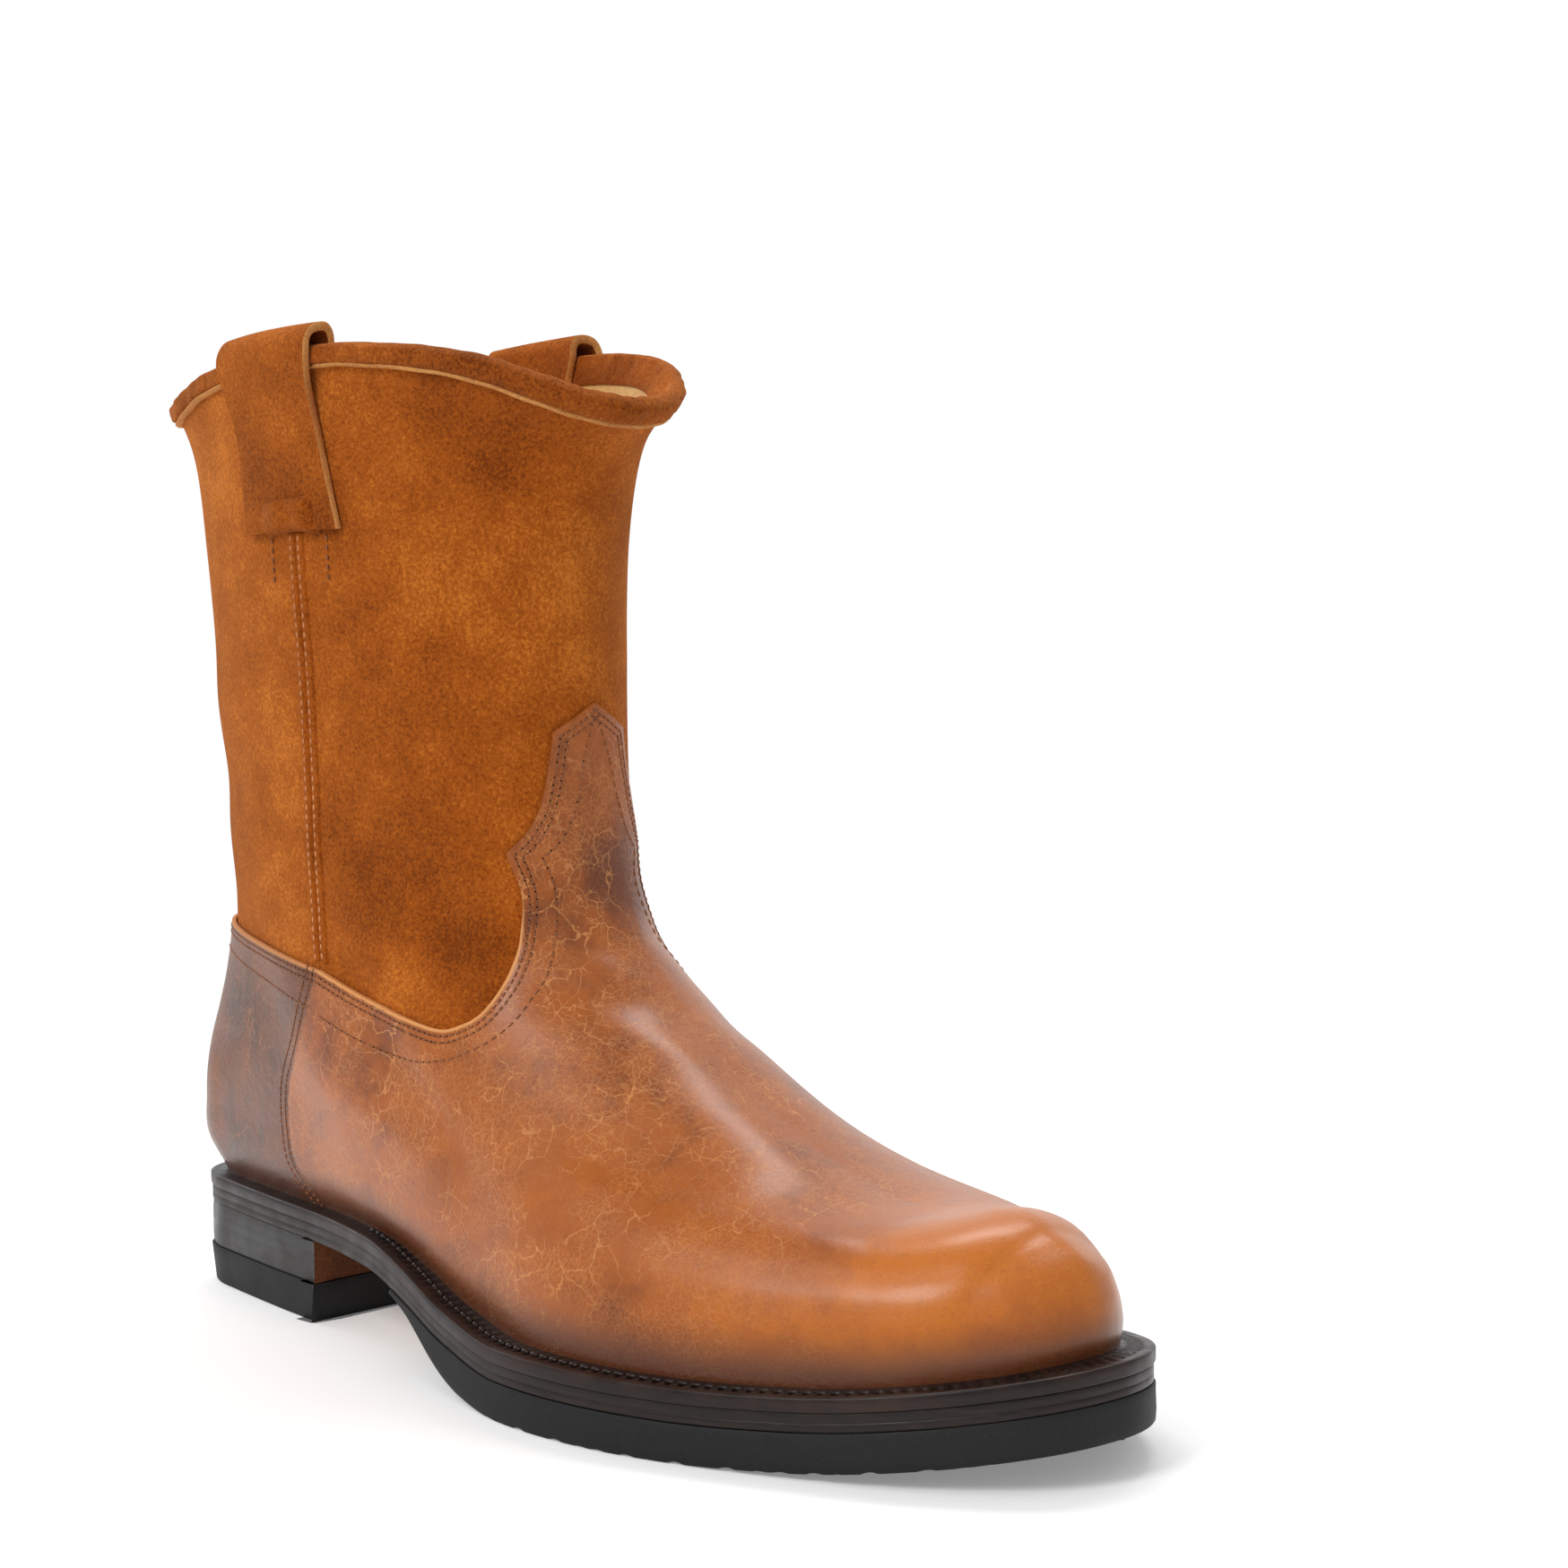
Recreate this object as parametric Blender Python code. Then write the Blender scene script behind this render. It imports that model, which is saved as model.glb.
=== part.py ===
# A pull-on roper boot for the right foot: X runs to the toe, Y to the inner side, Z up.
# The origin lies on the floor under the middle of the heel. All sizes are metres.

import bpy
import numpy as np
from mathutils import Vector
from mathutils.geometry import delaunay_2d_cdt

# Driving sizes
LENGTH = 0.3109
BALL_WIDTH = 0.1146
COLLAR_HEIGHT = 0.2492
HEEL_HEIGHT = 0.0305
HEEL_HALF_WIDTH = 0.0267
FOREFOOT_THICKNESS = 0.0171
TOE_SPRING = 0.0095
TIP_OFFSET = 0.0042
# From the back edge of the sole to the middle of the heel
HEEL_MIDDLE = 0.035

# Clearances: between neighbours, along the foot seam, and round the insole, where both sides
# are faceted; over the collar's edge in rings
GAP = 0.0003
SEAM_GAP = 0.0009
CROWN = 0.07
INSOLE_CLEARANCE = 0.0009

# The sole from the welt down. The welt strip is a share of the width, so that it still fits
# round a narrow heel
WELT_THICKNESS = 0.0034
WELT_BAND_SHARE = 0.1396
WELT_BAND = WELT_BAND_SHARE * BALL_WIDTH
WELT_LEDGE = 0.0083
WAIST_LEDGE = 0.0056
HEEL_LEDGE = 0.0046
LEATHER_THICKNESS = 0.0079
LEATHER_INSET = 0.0004
RUBBER_START = 0.1165
RUBBER_RAMP = 0.040
RUBBER_EDGE = 0.0012
CAP_THICKNESS = 0.0104
BREAST = 0.0701
HEEL_BATTER = 0.0010
INSOLE_THICKNESS = 0.0030
# Where along the sole the waist's ledge is reached, and the welt's full ledge
WAIST_AT = 0.3
BALL_AT = 0.5
# How much of a plate's round tip is left flat, and its first step from there
TIP_CUT = 0.0005
TIP_STEP = 0.0015
# Past either end of the sole: a plate between these two runs its full length
BACK = -1.0
FRONT = 1.0

# The leathers
WALL = 0.0022
OVERLAY = 0.0012
SEAM_THICKNESS = 0.0007
SEAM_WIDTH = 0.0062
BINDING = 0.0011
STRAP_THICKNESS = 0.0022

# The sole from above: share of LENGTH, then lateral and medial edge over BALL_WIDTH
OUTLINE = (
    (0.004, 0.083, 0.083),
    (0.018, 0.154, 0.156),
    (0.042, 0.192, 0.199),
    (0.077, 0.213, 0.236),
    (0.154, 0.250, 0.277),
    (0.251, 0.292, 0.284),
    (0.354, 0.365, 0.273),
    (0.466, 0.457, 0.300),
    (0.579, 0.527, 0.392),
    (0.669, 0.523, 0.454),
    (0.753, 0.468, 0.468),
    (0.830, 0.395, 0.438),
    (0.894, 0.322, 0.377),
    (0.942, 0.239, 0.297),
    (0.975, 0.162, 0.207),
    (0.993, 0.083, 0.124),
)

# The top of the welt: share of LENGTH, share of the way from FOREFOOT_THICKNESS to HEEL_HEIGHT,
# share of TOE_SPRING
WELT_PROFILE = (
    (0.000, 1.000, 0.0),
    (0.193, 0.945, 0.0),
    (0.322, 0.888, 0.0),
    (0.402, 0.604, 0.0),
    (0.482, 0.209, 0.0),
    (0.563, 0.000, 0.0),
    (0.643, 0.000, 0.0),
    (0.724, 0.000, 0.0),
    (0.820, 0.000, 0.12),
    (0.917, 0.000, 0.50),
    (1.000, 0.000, 1.00),
)
# The upper in rings from the welt to the collar. back and front in shares of LENGTH and
# COLLAR_HEIGHT; half widths and the ridge's side offset over BALL_WIDTH; foot is how far
# the ring still follows the footprint; sides down is how far its sides lie under its front,
# which rounds the toe
RINGS = (
    # name, back x, back z, front x, front z, lateral, medial, heel, ridge y, foot, sides down
    ("wall low", -0.008, 0.161, 0.974, 0.132, 0.452, 0.410, 0.254, 0.026, 0.99, 0.012),
    ("wall high", -0.008, 0.201, 0.963, 0.176, 0.433, 0.395, 0.261, 0.035, 0.95, 0.048),
    ("toe edge", -0.005, 0.237, 0.934, 0.213, 0.406, 0.382, 0.266, 0.044, 0.88, 0.054),
    ("toe top", 0.002, 0.273, 0.868, 0.196, 0.381, 0.366, 0.267, 0.044, 0.80, -0.002),
    ("vamp low", 0.012, 0.309, 0.791, 0.197, 0.359, 0.350, 0.268, 0.044, 0.69, -0.006),
    ("vamp middle", 0.022, 0.349, 0.708, 0.233, 0.343, 0.337, 0.270, 0.044, 0.53, -0.012),
    ("vamp high", 0.030, 0.389, 0.621, 0.292, 0.337, 0.328, 0.276, 0.035, 0.36, -0.018),
    ("throat low", 0.035, 0.433, 0.532, 0.368, 0.339, 0.325, 0.284, 0.026, 0.20, -0.008),
    ("throat", 0.039, 0.486, 0.479, 0.454, 0.344, 0.329, 0.289, 0.017, 0.10, 0.000),
    ("ankle", 0.039, 0.570, 0.466, 0.570, 0.355, 0.344, 0.293, 0.009, 0.00, 0.000),
    ("shaft low", 0.035, 0.674, 0.465, 0.686, 0.366, 0.363, 0.298, 0.000, 0.00, 0.000),
    ("shaft middle", 0.025, 0.790, 0.465, 0.803, 0.376, 0.379, 0.304, 0.000, 0.00, 0.000),
    ("shaft high", 0.008, 0.887, 0.485, 0.895, 0.382, 0.392, 0.309, 0.000, 0.00, 0.000),
    ("collar", -0.022, 0.947, 0.530, 0.947, 0.401, 0.401, 0.314, 0.000, 0.00, 0.000),
)
COLLAR_RISE = (
    # share from back to front, rise over COLLAR_HEIGHT
    (0.00, 0.010),
    (0.12, 0.010),
    (0.30, 0.036),
    (0.50, 0.053),
    (0.70, 0.055),
    (0.88, 0.034),
    (1.00, -0.006),
)

# Places on the upper are given as u, round the foot (-1 back, 0 front, 1 back again), and t,
# up through the rings. A side line holds for the outer side and mirrors to the inner one.
VAMP_TOP = (
    # name, u from the front, t
    ("side seam", 0.548, 7.53),
    ("after seam", 0.487, 7.25),
    ("low", 0.435, 7.13),
    ("lowest", 0.397, 7.11),
    ("rise start", 0.360, 7.29),
    ("rise", 0.293, 7.75),
    ("rise high", 0.236, 8.21),
    ("under notch", 0.191, 8.67),
    ("hollow", 0.167, 9.13),
    ("notch", 0.180, 9.47),
    ("over notch", 0.146, 9.63),
    ("tongue low", 0.118, 9.85),
    ("tongue", 0.100, 10.15),
    ("shoulder", 0.086, 10.49),
    ("peak", 0.000, 10.72),
)
COUNTER_TOP = (
    ("side seam", 0.548, 7.53),
    ("side", 0.624, 7.57),
    ("rear side", 0.721, 7.53),
    ("rear", 0.860, 7.45),
    ("back", 1.000, 7.42),
)
FOOT_SEAM = (
    ("top", 0.548, 7.53),
    ("upper bend", 0.582, 6.97),
    ("middle", 0.648, 5.37),
    ("low", 0.700, 2.90),
    ("foot", 0.706, 1.48),
    ("welt", 0.693, 0.00),
)
SIDE_SEAM = (
    ("joint", 0.540, 7.70),
    ("bend", 0.487, 9.20),
    ("ankle", 0.476, 9.80),
    ("shaft", 0.469, 10.60),
    ("strap", 0.468, 11.90),
)
# The strap's way over the collar: its near face in millimetres from the upper's outside and
# above the collar's edge, the direction it faces, and its middle and half width in u
STRAP_PATH = (
    # name, t, off, up, facing off, facing up, u, half width
    ("outer foot", 12.05, 0.3, 0.0, 1.00, 0.00, 0.471, 0.0790),
    ("outer low", 12.60, 0.4, 0.0, 1.00, 0.00, 0.484, 0.0700),
    ("outer middle", 13.10, 0.8, 0.0, 1.00, 0.00, 0.497, 0.0665),
    ("outer high", 13.55, 1.9, 0.0, 1.00, 0.00, 0.503, 0.0660),
    ("outer edge", 14.00, 2.4, 0.0, 1.00, 0.00, 0.505, 0.0660),
    ("outer curve", 14.00, 2.1, 2.7, 0.82, 0.57, 0.505, 0.0660),
    ("top outer", 14.00, 0.7, 4.2, 0.26, 0.97, 0.505, 0.0660),
    ("top inner", 14.00, -2.7, 4.2, -0.26, 0.97, 0.505, 0.0660),
    ("inner curve", 14.00, -4.0, 2.7, -0.82, 0.57, 0.505, 0.0660),
    ("inner edge", 14.00, -4.3, 0.0, -1.00, 0.00, 0.505, 0.0660),
    ("inner high", 13.55, -4.0, 0.0, -1.00, 0.00, 0.503, 0.0660),
    ("inner middle", 13.10, -3.0, 0.0, -1.00, 0.00, 0.500, 0.0660),
    ("inner low", 12.60, -2.6, 0.0, -1.00, 0.00, 0.497, 0.0660),
    ("inner foot", 12.10, -2.6, 0.0, -1.00, 0.00, 0.495, 0.0660),
)

# The faceting: columns round the foot and levels in rings
COLUMNS = 48
LEVELS = (
    0, 0.6, 1.2, 1.8, 2.4, 3, 3.6, 4.3, 5, 6, 7, 8, 8.5, 9, 9.5, 10, 11, 12, 12.7, 13.2, 13.6, 14,
)
BINDING_LEVELS = (13.6, 14.0)
BINDING_TOP = 0.16
# The foot's shape: rings over which it follows the welt's profile, share of the way forward
# where the forefoot's width starts to count and over how much, the collar's rise in rings, and
# how strongly the sides' drop is gathered at the toe
PROFILE_RINGS = 6.0
FORE_START = 0.25
FORE_SPAN = 0.30
RISE_RINGS = 3.5
DROP_PER_RING = 0.01
DROP_FORWARD = 4.0
# The ring where the shaft starts to come out flush with the overlays, and over how many rings
FLUSH_START = 8.0
FLUSH_RINGS = 2.0
# The larger forms the overlays are cut from, in rings, and the patch that cuts them
BELOW_WELT = -0.8
ABOVE_OVERLAYS = 12.0
CORE_OVER_FORM = 0.5
PATCH_INSIDE = -0.004
PATCH_OUTSIDE = 0.006
# How far one unit of u counts against one ring when lines are spaced
U_IN_RINGS = 20.0
# The rows of VAMP_TOP that meet at corners, and stay straight between them
TONGUE_ROWS = 6

COLOURS = {
    # name: linear colour, roughness
    "suede": ((0.400, 0.135, 0.030), 0.95),
    "suede_dark": ((0.270, 0.080, 0.020), 0.95),
    "waxed_leather": ((0.330, 0.120, 0.040), 0.38),
    "counter_leather": ((0.250, 0.085, 0.040), 0.42),
    "edge_leather": ((0.030, 0.012, 0.010), 0.35),
    "welt_leather": ((0.022, 0.012, 0.010), 0.45),
    "stack_leather": ((0.025, 0.014, 0.012), 0.40),
    "rubber": ((0.018, 0.018, 0.019), 0.80),
    "lining_leather": ((0.560, 0.380, 0.200), 0.60),
}


def eased(value):
    value = np.clip(value, 0.0, 1.0)
    return value * value * (3.0 - 2.0 * value)


def through(xs, ys, x, level=False):
    """A smooth curve through the points; level keeps equal neighbours level."""
    xs, ys, x = (np.asarray(v, float) for v in (xs, ys, x))
    step = np.diff(xs)
    rise = np.diff(ys) / step
    slope = np.concatenate([rise[:1], rise[:1], rise[1:]])[: len(xs)]
    slope[0], slope[-1] = rise[0], rise[-1]
    if level:
        turn = rise[:-1] * rise[1:] <= 0.0
        total = np.where(turn, 1.0, rise[:-1] + rise[1:])
        slope[1:-1] = np.where(turn, 0.0, 2.0 * rise[:-1] * rise[1:] / total)
    else:
        slope[1:-1] = (rise[:-1] * step[1:] + rise[1:] * step[:-1]) / (step[:-1] + step[1:])
    i = np.clip(np.searchsorted(xs, x) - 1, 0, len(step) - 1)
    t = np.clip((x - xs[i]) / step[i], 0.0, 1.0)
    return (
        (2 * t**3 - 3 * t**2 + 1) * ys[i]
        + (t**3 - 2 * t**2 + t) * step[i] * slope[i]
        + (3 * t**2 - 2 * t**3) * ys[i + 1]
        + (t**3 - t**2) * step[i] * slope[i + 1]
    )


def closed_curve(points, count):
    """Count points along a closed centripetal curve through the given plan points."""
    loop = np.vstack([points, points[:1]])
    knots = np.r_[0.0, np.cumsum(np.hypot(*np.diff(loop, axis=0).T) ** 0.5)]
    around = np.vstack([loop[-2], loop, loop[1]])
    times = np.r_[knots[0] - knots[-1] + knots[-2], knots, knots[-1] + knots[1]]
    u = np.linspace(0.0, knots[-1], count, endpoint=False)
    i = np.clip(np.searchsorted(knots, u, side="right"), 1, len(knots) - 1)

    def mix(a, b, ta, tb):
        return a + (b - a) * ((u - ta) / (tb - ta))[:, None]

    t0, t1, t2, t3 = (times[i + k] for k in (-1, 0, 1, 2))
    p0, p1, p2, p3 = (around[i + k] for k in (-1, 0, 1, 2))
    a1, a2, a3 = mix(p0, p1, t0, t1), mix(p1, p2, t1, t2), mix(p2, p3, t2, t3)
    return mix(mix(a1, a2, t0, t2), mix(a2, a3, t1, t3), t1, t2)


def sole_outline(count=720):
    """The sole's edge from above, from the back along the lateral side to the toe and back."""
    rows = np.array(OUTLINE) * (LENGTH, BALL_WIDTH, BALL_WIDTH)
    lateral = rows[:, :2] * (1.0, -1.0)
    medial = rows[::-1][:, [0, 2]]
    toe = (LENGTH, TIP_OFFSET)
    return closed_curve(np.vstack([(0.0, 0.0), lateral, toe, medial]), count)


def inset(loop, by):
    """The plan loop moved inwards by this much at each point."""
    along = np.roll(loop, -1, axis=0) - np.roll(loop, 1, axis=0)
    along /= np.hypot(*along.T)[:, None]
    inward = np.c_[-along[:, 1], along[:, 0]]
    return loop + inward * np.reshape(by, (-1, 1))


class Sides:
    """A plan loop as two edges, each giving y for x."""

    def __init__(self, loop):
        back, front = loop[:, 0].argmin(), loop[:, 0].argmax()
        loop = np.roll(loop, -back, axis=0)
        front = (front - back) % len(loop)
        self.lateral = loop[: front + 1]
        self.medial = np.vstack([loop[front:], loop[:1]])[::-1]
        self.start, self.end = loop[0, 0], loop[front, 0]

    def y(self, side, x):
        edge = self.lateral if side < 0 else self.medial
        return np.interp(x, np.maximum.accumulate(edge[:, 0]), edge[:, 1])

    def widest(self, side):
        return np.abs((self.lateral if side < 0 else self.medial)[:, 1]).max()


EDGE = sole_outline()
LEDGES = np.interp(EDGE[:, 0], (0.0, WAIST_AT * LENGTH, BALL_AT * LENGTH),
                   (HEEL_LEDGE, WAIST_LEDGE, WELT_LEDGE))
FEATHER = Sides(inset(EDGE, LEDGES))


def smooth_welt_top(x):
    rows = np.array(WELT_PROFILE)
    arch = through(rows[:, 0], rows[:, 1], x / LENGTH, level=True)
    spring = through(rows[:, 0], rows[:, 2], x / LENGTH, level=True)
    return FOREFOOT_THICKNESS + arch * (HEEL_HEIGHT - FOREFOOT_THICKNESS) + spring * TOE_SPRING


def column_share(u):
    """From the back (0) to the front (1) for a column: -1 back, lateral, 0 front, medial, 1."""
    away = 1.0 - np.abs((np.asarray(u, float) + 1.0) % 2.0 - 1.0)
    return (1.0 - np.cos(np.pi * away)) / 2.0


STATIONS = np.unique(np.r_[0.0, FEATHER.start + (FEATHER.end - FEATHER.start)
                           * column_share(np.linspace(-1.0, 0.0, COLUMNS // 2 + 1)), LENGTH])


def welt_top(x):
    return np.interp(x, STATIONS, smooth_welt_top(STATIONS))


def ring_table():
    first = (FEATHER.start, welt_top(FEATHER.start), FEATHER.end, welt_top(FEATHER.end),
             FEATHER.widest(-1), FEATHER.widest(1), HEEL_HALF_WIDTH, TIP_OFFSET, 1.0, 0.0)
    sizes = (LENGTH, COLLAR_HEIGHT, LENGTH, COLLAR_HEIGHT) + (BALL_WIDTH,) * 4 + (1.0, COLLAR_HEIGHT)
    return np.vstack([first, [np.multiply(row[1:], sizes) for row in RINGS]])


TABLE = ring_table()
TOP_RING = len(TABLE) - 1


def surface(u, t):
    """Points of the upper's outside: u round the foot, t up from the welt in rings.
    Below the welt it runs on straight down, and past the collar on along its slope."""
    u, t = np.broadcast_arrays(np.asarray(u, float), np.asarray(t, float))
    up = np.clip(t, 0.0, TOP_RING)
    back_x, back_z, front_x, front_z, lateral, medial, heel, ridge, foot, drop = (
        through(np.arange(TOP_RING + 1.0), column, up) for column in TABLE.T
    )
    share = column_share(u)
    side = np.where((u + 1.0) % 2.0 < 1.0, -1.0, 1.0)
    x = back_x + (front_x - back_x) * share
    low_x = FEATHER.start + (FEATHER.end - FEATHER.start) * share
    flat = TABLE[0, 1] + (TABLE[0, 3] - TABLE[0, 1]) * share
    z = back_z + (front_z - back_z) * share
    z += (welt_top(low_x) - flat) * np.clip(1.0 - up / PROFILE_RINGS, 0.0, 1.0) ** 2
    rise = np.array(COLLAR_RISE)
    near_top = eased((up - TOP_RING + RISE_RINGS) / RISE_RINGS)
    z += near_top * through(*rise.T, share) * COLLAR_HEIGHT
    print_y = np.where(side < 0, FEATHER.y(-1, low_x), FEATHER.y(1, low_x))
    width = np.where(side < 0, lateral, medial)
    first = np.where(side < 0, TABLE[0, 4], TABLE[0, 5])
    fore = eased((share - FORE_START) / FORE_SPAN)
    scale = (1.0 - fore) * heel / HEEL_HALF_WIDTH + fore * width / first
    oval = np.sqrt(np.maximum(1.0 - (2.0 * share - 1.0) ** 2, 0.0))
    y = foot * print_y * scale + (1.0 - foot) * (ridge * share**2 + side * width * oval)
    z -= drop * oval * share**DROP_FORWARD
    points = np.stack([x, y, z + np.minimum(t, 0.0) * DROP_PER_RING], axis=-1)
    over = np.maximum(t - TOP_RING, 0.0)[..., None]
    if over.any():
        short = 0.1
        points += over / short * (surface(u, TOP_RING) - surface(u, TOP_RING - short))
    return points


def surface_off(u, t, off):
    """Points this far outside the surface, level at the welt."""
    u, t = np.broadcast_arrays(np.asarray(u, float), np.asarray(t, float))
    beside = 1e-4
    above = 0.01
    on = np.clip(t, 0.0, TOP_RING)
    along = surface(u + beside, on) - surface(u - beside, on)
    up = surface(u, np.minimum(on + above, TOP_RING)) - surface(u, np.maximum(on - above, 0.0))
    normal = np.cross(along, up)
    normal[..., 2] *= eased(t)
    normal /= np.linalg.norm(normal, axis=-1)[..., None]
    return surface(u, t) + normal * np.reshape(off, np.shape(off) + (1,) * (np.ndim(off) > 0))


def material(name):
    """A plain Principled material for one leather or rubber."""
    colour, roughness = COLOURS[name]
    made = bpy.data.materials.get(name) or bpy.data.materials.new(name)
    made.use_nodes = True
    shader = made.node_tree.nodes["Principled BSDF"]
    shader.inputs["Base Color"].default_value = (*colour, 1.0)
    shader.inputs["Roughness"].default_value = roughness
    shader.inputs["Metallic"].default_value = 0.0
    return made


def solid(name, points, faces, coat, collection):
    """A mesh object from points and faces, in the given collection."""
    mesh = bpy.data.meshes.new(name)
    placed = np.asarray(points) - (HEEL_MIDDLE, 0.0, 0.0)
    mesh.from_pydata([tuple(point) for point in placed], [], [tuple(face) for face in faces])
    mesh.validate()
    mesh.update()
    made = bpy.data.objects.new(name, mesh)
    collection.objects.link(made)
    if coat:
        made.data.materials.append(material(coat))
    return made


def helper(name, points, faces):
    """A cutter: a wire in the viewport that isn't rendered."""
    made = solid(name, points, faces, None, CUTTERS)
    made.hide_render = True
    made.display_type = "WIRE"
    return made


def boolean(target, other, operation):
    """An exact Boolean on the target that stays live."""
    step = target.modifiers.new(operation.title(), "BOOLEAN")
    step.operation = operation
    step.solver = "EXACT"
    step.object = other


def lattice(rows, columns, start, flip=False):
    """Triangles over a grid that closes round its columns, each cut on its short diagonal."""
    faces = []
    for row in range(rows - 1):
        for column in range(columns):
            after = (column + 1) % columns
            a, b = start + row * columns + column, start + row * columns + after
            c, d = b + columns, a + columns
            outer = column < columns // 2
            pair = [(a, b, c), (a, c, d)] if outer else [(a, b, d), (b, c, d)]
            faces += [face[::-1] for face in pair] if flip else pair
    return faces


def round_u():
    return -1.0 + 2.0 * np.arange(COLUMNS) / COLUMNS


def base_off(t):
    """How far the shaft's leather sits under the overlays' outside."""
    flush = eased((np.asarray(t, float) - FLUSH_START) / FLUSH_RINGS)
    return -(GAP + OVERLAY) * (1.0 - flush)


def ring_points(t, off):
    return surface_off(round_u(), t, base_off(t) + off)


def upper(collection):
    """The hollow shaft and foot, open at the collar and underneath."""
    outside = np.vstack([ring_points(t, 0.0) for t in LEVELS])
    inside = np.vstack([ring_points(t, -WALL) for t in LEVELS])
    count, rows = len(outside), len(LEVELS)
    faces = lattice(rows, COLUMNS, 0) + lattice(rows, COLUMNS, count, flip=True)
    top = (rows - 1) * COLUMNS
    for column in range(COLUMNS):
        after = (column + 1) % COLUMNS
        faces.append((column, column + count, after + count, after))
        faces.append((top + column, top + after, top + after + count, top + column + count))
    points = np.vstack([outside, inside])
    points[:, 2] += GAP
    return solid("upper", points, faces, "suede", collection)


def form(name, off, lowest, highest, collection=None, coat=None):
    """A closed body of the upper's outside moved out by off, from one ring to another."""
    levels = [lowest] if lowest < 0 else []
    levels += [t for t in LEVELS if t < highest] + [highest]
    points = np.vstack([ring_points(t, off) for t in levels])
    faces = lattice(len(levels), COLUMNS, 0)
    last = (len(levels) - 1) * COLUMNS
    ends = [points[:COLUMNS].mean(axis=0), points[last:].mean(axis=0)]
    bottom, top = len(points), len(points) + 1
    for column in range(COLUMNS):
        after = (column + 1) % COLUMNS
        faces += [(after, column, bottom), (last + column, last + after, top)]
    points = np.vstack([points, ends])
    points[:, 2] += GAP
    if collection:
        return solid(name, points, faces, coat, collection)
    return helper(name, points, faces)


def patch_cutter(name, border, inner, outer):
    """A thick patch over the upper, bounded by the border given in u and t."""
    border = np.array(border)
    low, high = border.min(axis=0), border.max(axis=0)
    levels = [t for t in LEVELS if low[1] < t < high[1]]
    grid = [
        (u, t)
        for u in np.arange(-2 * COLUMNS, 2 * COLUMNS + 1) * 2.0 / COLUMNS
        for t in levels
        if low[0] < u < high[0] and inside(border, u, t)
    ]
    flat = [Vector((u * U_IN_RINGS, t)) for u, t in [*border, *grid]]
    rim = [(i, (i + 1) % len(border)) for i in range(len(border))]
    made = delaunay_2d_cdt(flat, rim, [], 1, 1e-6)
    u, t = (np.array([vertex[axis] for vertex in made[0]]) for axis in (0, 1))
    u = u / U_IN_RINGS
    near = surface_off(u, t, base_off(t) + inner)
    far = surface_off(u, t, base_off(t) + outer)
    count = len(u)
    faces = []
    for a, b, c in made[2]:
        turn = (u[b] - u[a]) * (t[c] - t[a]) - (u[c] - u[a]) * (t[b] - t[a])
        if turn < 0:
            b, c = c, b
        faces += [(a + count, b + count, c + count), (c, b, a)]
    used = {(face[i], face[(i + 1) % 3]) for face in faces[1::2] for i in range(3)}
    for a, b in used:
        if (b, a) not in used:
            faces.append((b, a, a + count, b + count))
    points = np.vstack([near, far])
    points[:, 2] += GAP
    return helper(name, points, faces)


def inside(border, u, t):
    """Whether the place lies within the border and not close to its line."""
    ends = np.roll(border, -1, axis=0)
    crossing = (border[:, 1] > t) != (ends[:, 1] > t)
    with np.errstate(divide="ignore", invalid="ignore"):
        at = border[:, 0] + (t - border[:, 1]) / (ends[:, 1] - border[:, 1]) * (
            ends[:, 0] - border[:, 0]
        )
    return bool(np.count_nonzero(crossing & (u < at)) % 2)


def rounded(rows, count):
    """The named line as count places along a smooth curve of u and t."""
    line = np.array([row[1:] for row in rows])
    along = np.r_[0.0, np.cumsum(np.hypot(*(np.diff(line, axis=0) * (U_IN_RINGS, 1.0)).T))]
    at = np.unique(np.r_[np.linspace(0.0, along[-1], count), along])
    return np.c_[through(along, line[:, 0], at), through(along, line[:, 1], at)]


def overlay(name, border, coat, collection):
    """A leather of OVERLAY thickness cut between two forms of the upper."""
    made = form(name, GAP + OVERLAY, 0.0, ABOVE_OVERLAYS, collection, coat)
    core = form(name + "_core", GAP, BELOW_WELT, ABOVE_OVERLAYS + CORE_OVER_FORM)
    patch = patch_cutter(name + "_patch", border, PATCH_INSIDE, PATCH_OUTSIDE)
    boolean(made, core, "DIFFERENCE")
    boolean(made, patch, "INTERSECT")
    return made


def u_per_metre(line):
    """How much u one metre round the foot takes at each place of the line."""
    beside = 0.001
    left = surface(line[:, 0] - beside, line[:, 1])
    right = surface(line[:, 0] + beside, line[:, 1])
    return 2.0 * beside / np.linalg.norm(right - left, axis=-1)


def seam_line(rows, count, shift):
    """A seam in u and t, moved along the foot by shift."""
    line = rounded(rows, count)
    return line + np.c_[shift * u_per_metre(line), np.zeros(len(line))]


def below_welt(start, end):
    """Places under the welt's top from one u to another, one for each column."""
    count = round(abs(end - start) * COLUMNS / 2) + 1
    return np.c_[np.linspace(start, end, count), np.full(count, BELOW_WELT)]


def vamp(collection):
    """The foot's leather from seam to seam, with the tongue on the shaft."""
    top = rounded(VAMP_TOP[:-TONGUE_ROWS], 9)
    tongue = np.array([row[1:] for row in VAMP_TOP[-TONGUE_ROWS:]])
    seam = seam_line(FOOT_SEAM, 8, -SEAM_GAP / 2)
    under = below_welt(0.0, seam[-1, 0])
    half = np.vstack([under, seam[::-1], top[1:], tongue])
    border = np.vstack([half * (-1.0, 1.0), half[1:-1][::-1]])
    return overlay("vamp", border, "waxed_leather", collection)


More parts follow.
